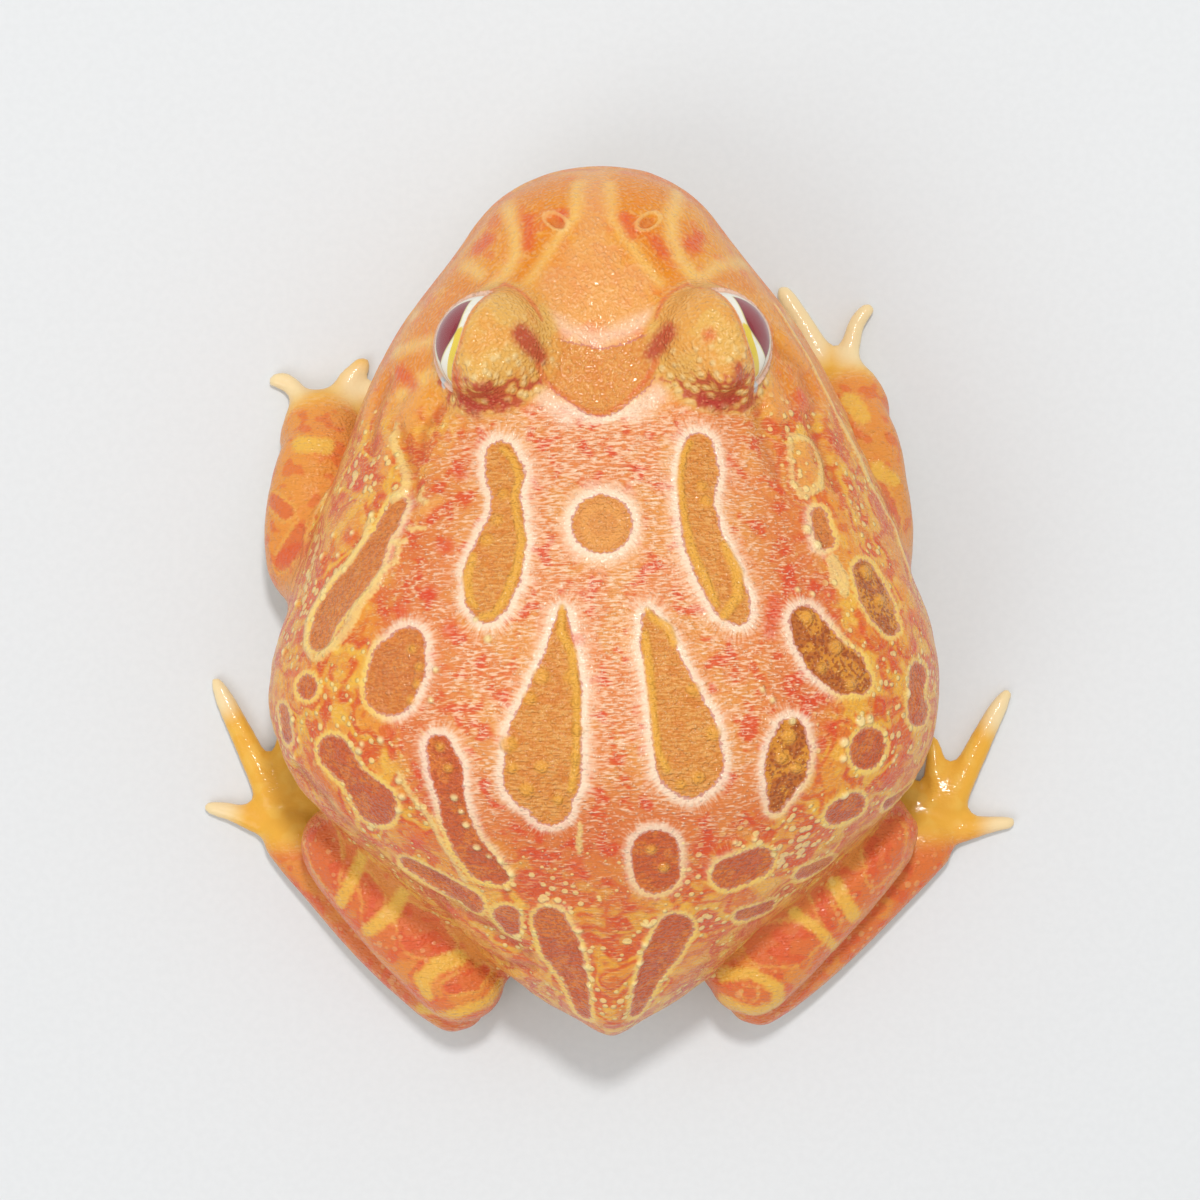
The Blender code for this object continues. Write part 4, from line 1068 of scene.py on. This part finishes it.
    # What raises the fine relief, between which values, and how many millimetres
    height = 0.0
    for driver, start, full, rise in (
        (streak, 0.3, 0.7, 0.06),
        (grain, 0.5, 0.0, 0.08),
        (wart, 0.0, 1.0, 0.14),
        (stone, 0.0, 0.5, 0.16),
        (at["ridge"], 0.30, -0.30, 0.11),
        (at["knob"], 0.40, -0.50, 0.15),
        (at["bead"], 0.25, -0.40, 0.16),
        (at["cream"], 0.25, -0.20, 0.10),
        (fine, 0.3, 0.7, 0.04),
        (leather, 0.3, 0.7, 0.06),
    ):
        step = add(
            tree, "MapRange",
            {"Value": driver, "From Min": start, "From Max": full, "To Min": 0, "To Max": rise},
            interpolation_type="SMOOTHSTEP",
        )
        height = add(tree, "Math", {0: height, 1: step}, operation="ADD")
    height = add(tree, "Math", {0: height, 1: at["rough"]}, operation="MULTIPLY")
    relief = add(tree, "Bump", {"Height": height, "Strength": 1.0, "Distance": MM})
    tree.links.new(paint, shader.inputs["Base Color"])
    tree.links.new(relief, shader.inputs["Normal"])
    tree.links.new(relief, shader.inputs["Coat Normal"])
    gloss = add(
        tree, "MapRange",
        {"Value": ragged["patch"], "From Min": -0.1, "From Max": 0.3, "To Min": 0.28, "To Max": 0.40},
    )
    tree.links.new(gloss, shader.inputs["Roughness"])
    shader.inputs["Specular IOR Level"].default_value = 0.25
    shader.inputs["Coat Weight"].default_value = 0.50
    shader.inputs["Coat Roughness"].default_value = 0.08
    shader.inputs["IOR"].default_value = 1.4
    return material


def make_skin():
    skin = base_skin()
    relax_joints(skin)
    strokes = {**PATCHES, **{name: marks for name, (_, marks) in MARKS.items()}}
    traced = {name: stations_on(skin, marks) for name, marks in strokes.items()}
    refine_details(skin, traced["ridge"] + traced["knob"] + traced["bead"] + traced["crease"])
    fields = sculpt(skin, traced)
    store(skin, fields)
    activate(skin)
    bpy.ops.object.shade_smooth()
    skin.data.materials.clear()
    skin.data.materials.append(frog_skin(fields.keys()))
    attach(skin, "root")
    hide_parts(*[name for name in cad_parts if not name.startswith("eye_")])


def wet_iris():
    """The iris under the cornea: pale cream, gold along the rear of the upper lid, with a
    maroon pupil drawn out to a point at each end. Wet and smooth, so without relief."""
    material, tree, shader = new_material("wet_iris")
    place = add(tree, "TexCoord", output="Object")
    at = {
        name: add(tree, "Attribute", output="Fac", attribute_name=name)
        for name in ("pupil", "drop", "gold", "seam")
    }
    veins = add(tree, "TexNoise", {"Vector": place, "Scale": scale_for(0.6), "Detail": 3.0})
    shade = painted(tree, "#8E2C36", [(at["drop"], 0.0, 1.0, 0.7, "#A0707A")])
    paint = painted(tree, "#EEECDC", [
        (veins, 0.54, 0.68, 0.4, "#DAD8C4"),
        (at["gold"], 0.35, 0.65, 0.95, "#E6CA3C"),
        (at["pupil"], 0.20, 0.06, 0.7, "#D6BE4C"),
        (at["seam"], 0.16, 0.04, 0.7, "#77785C"),
        (at["pupil"], 0.06, -0.02, 1.0, "#7E4046"),
        (at["pupil"], -0.06, -0.20, 1.0, shade),
    ])
    tree.links.new(paint, shader.inputs["Base Color"])
    shader.inputs["Roughness"].default_value = 0.4
    return material


def clear_cornea():
    """The cornea: living tissue as clear as water, wet, seen only by sharp reflections."""
    material, tree, shader = new_material("clear_cornea")
    tree.nodes.remove(shader)
    edge = add(tree, "Fresnel", {"IOR": 1.376})
    facing = add(tree, "Math", {
        0: 1.0, 1: add(tree, "NewGeometry", output="Backfacing"),
    }, operation="SUBTRACT")
    mirror = add(tree, "Math", {0: edge, 1: facing}, operation="MULTIPLY", use_clamp=True)
    through = add(tree, "BsdfTransparent")
    shine = add(tree, "BsdfGlossy", {"Roughness": 0.04})
    mixed = add(tree, "MixShader", {0: mirror, 1: through, 2: shine})
    tree.links.new(mixed, tree.nodes["Material Output"].inputs["Surface"])
    return material


def pupil_fields(side, points):
    """Where the pupil, the gold and the dark seam are on an iris ball."""
    middle, radius = eye_place(side)
    out = points - middle
    out /= np.linalg.norm(out, axis=1)[:, None]
    gaze = direction(side, GAZE_AZIMUTH, GAZE_RISE)
    ahead = np.cross(gaze, (0, 0, 1)) * SIDES[side]
    ahead /= np.linalg.norm(ahead)
    up = np.cross(ahead, gaze) * SIDES[side]
    length = np.degrees(np.arctan2(out @ ahead, out @ gaze))
    height = np.degrees(np.arcsin(np.clip(out @ up, -1, 1)))
    bow = np.clip(1 - (np.abs(length) / PUPIL_HALF_LENGTH) ** 1.7, -2, 1)
    pupil = np.abs(height) / PUPIL_HALF_HEIGHT - bow
    pupil = np.where(out @ gaze < 0, 3, pupil * 1.5)
    edge = -lid_distance(side, points)
    upper = soft_step((out[:, 2] - 0.2) / 0.2)
    rear = soft_step((20 - length) / 25)
    gold = soft_step((0.5 + 0.6 * rear - edge) / 0.35) * upper * rear * (edge > -0.5)
    seam = np.where(length < -PUPIL_HALF_LENGTH * 0.9, np.abs(height) / 10, 3.0)
    return {"pupil": pupil, "drop": -height / PUPIL_HALF_HEIGHT, "gold": gold, "seam": seam}


def make_eye(side, iris, cornea):
    """An iris ball with its pupil, and the clear cornea round it at the eye's full size."""
    middle, radius = eye_place(side)
    turn = Vector(direction(side, GAZE_AZIMUTH, GAZE_RISE)).to_track_quat("Z", "Y").to_euler()
    for title, size, finish in (("eyeball", radius - IRIS_DEPTH, iris), ("cornea", radius, cornea)):
        bpy.ops.object.select_all(action="DESELECT")
        bpy.ops.mesh.primitive_uv_sphere_add(
            segments=EYE_SEGMENTS, ring_count=EYE_RINGS,
            radius=size * MM, location=middle * MM, rotation=turn,
        )
        ball = bpy.context.object
        ball.name = f"{title}_{side}"
        bpy.ops.object.transform_apply(location=True, rotation=True, scale=True)
        bpy.ops.object.shade_smooth()
        ball.data.materials.append(finish)
        if title == "eyeball":
            store(ball, pupil_fields(side, read_points(ball)))
            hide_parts(f"eye_{side}")
        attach(ball, "root")


def pale_paper():
    """A studio's pale paper sweep: matte and even, with a barely visible tooth, drawn coarser
    than in life because the real one is too fine for the render."""
    material, tree, shader = new_material("pale_paper")
    place = add(tree, "TexCoord", output="Object")
    tooth = add(tree, "TexNoise", {"Vector": place, "Scale": scale_for(0.8)})
    paint = painted(tree, "#D9DBDC", [(tooth, 0.3, 0.7, 1.0, "#DBDDDE")])
    tree.links.new(paint, shader.inputs["Base Color"])
    shader.inputs["Roughness"].default_value = 0.9
    shader.inputs["Specular IOR Level"].default_value = 0.1
    return material


WORLD_LIGHT = 0.68
# Soft lights: name, place in metres, size in metres, power in watts
LIGHTS = [
    ("key", (-0.04, -0.36, 0.92), 0.12, 4.2),
    ("fill", (0.45, 0.45, 0.70), 0.60, 1.6),
]


def make_studio():
    """Floor, lights and the camera."""
    bpy.ops.object.select_all(action="DESELECT")
    bpy.ops.mesh.primitive_plane_add(size=4.0, location=(0, 0, 0))
    floor = bpy.context.object
    floor.name = "floor"
    floor.data.materials.append(pale_paper())

    world = bpy.data.worlds.new("studio")
    world.use_nodes = True
    sky = world.node_tree.nodes["Background"]
    sky.inputs["Color"].default_value = light_of("#FFFFFF")
    sky.inputs["Strength"].default_value = WORLD_LIGHT
    world.cycles_visibility.glossy = False
    bpy.context.scene.world = world
    for name, place, size, power in LIGHTS:
        lamp = bpy.data.lights.new(name, "AREA")
        lamp.shape = "DISK"
        lamp.size = size
        lamp.energy = power
        holder = bpy.data.objects.new(name, lamp)
        holder.location = place
        holder.rotation_mode = "QUATERNION"
        holder.rotation_quaternion = (-Vector(place)).to_track_quat("-Z", "Y")
        bpy.context.scene.collection.objects.link(holder)

    lens = bpy.data.cameras.new("camera")
    lens.sensor_width = SENSOR
    lens.lens = SENSOR * CAMERA_HEIGHT / VIEW_WIDTH
    lens.clip_start = 0.01
    lens.clip_end = 20.0
    camera = bpy.data.objects.new("camera", lens)
    camera.location = (CAMERA_FOOT[0] * MM, CAMERA_FOOT[1] * MM, CAMERA_HEIGHT * MM)
    camera.rotation_euler = (0, 0, math.pi - FROG_TURN)
    bpy.context.scene.collection.objects.link(camera)
    bpy.context.scene.camera = camera
    bpy.context.scene.view_settings.view_transform = "Standard"


make_studio()
make_skin()
cornea_finish = clear_cornea()
iris_finish = wet_iris()
for eye_side in SIDES:
    make_eye(eye_side, iris_finish, cornea_finish)
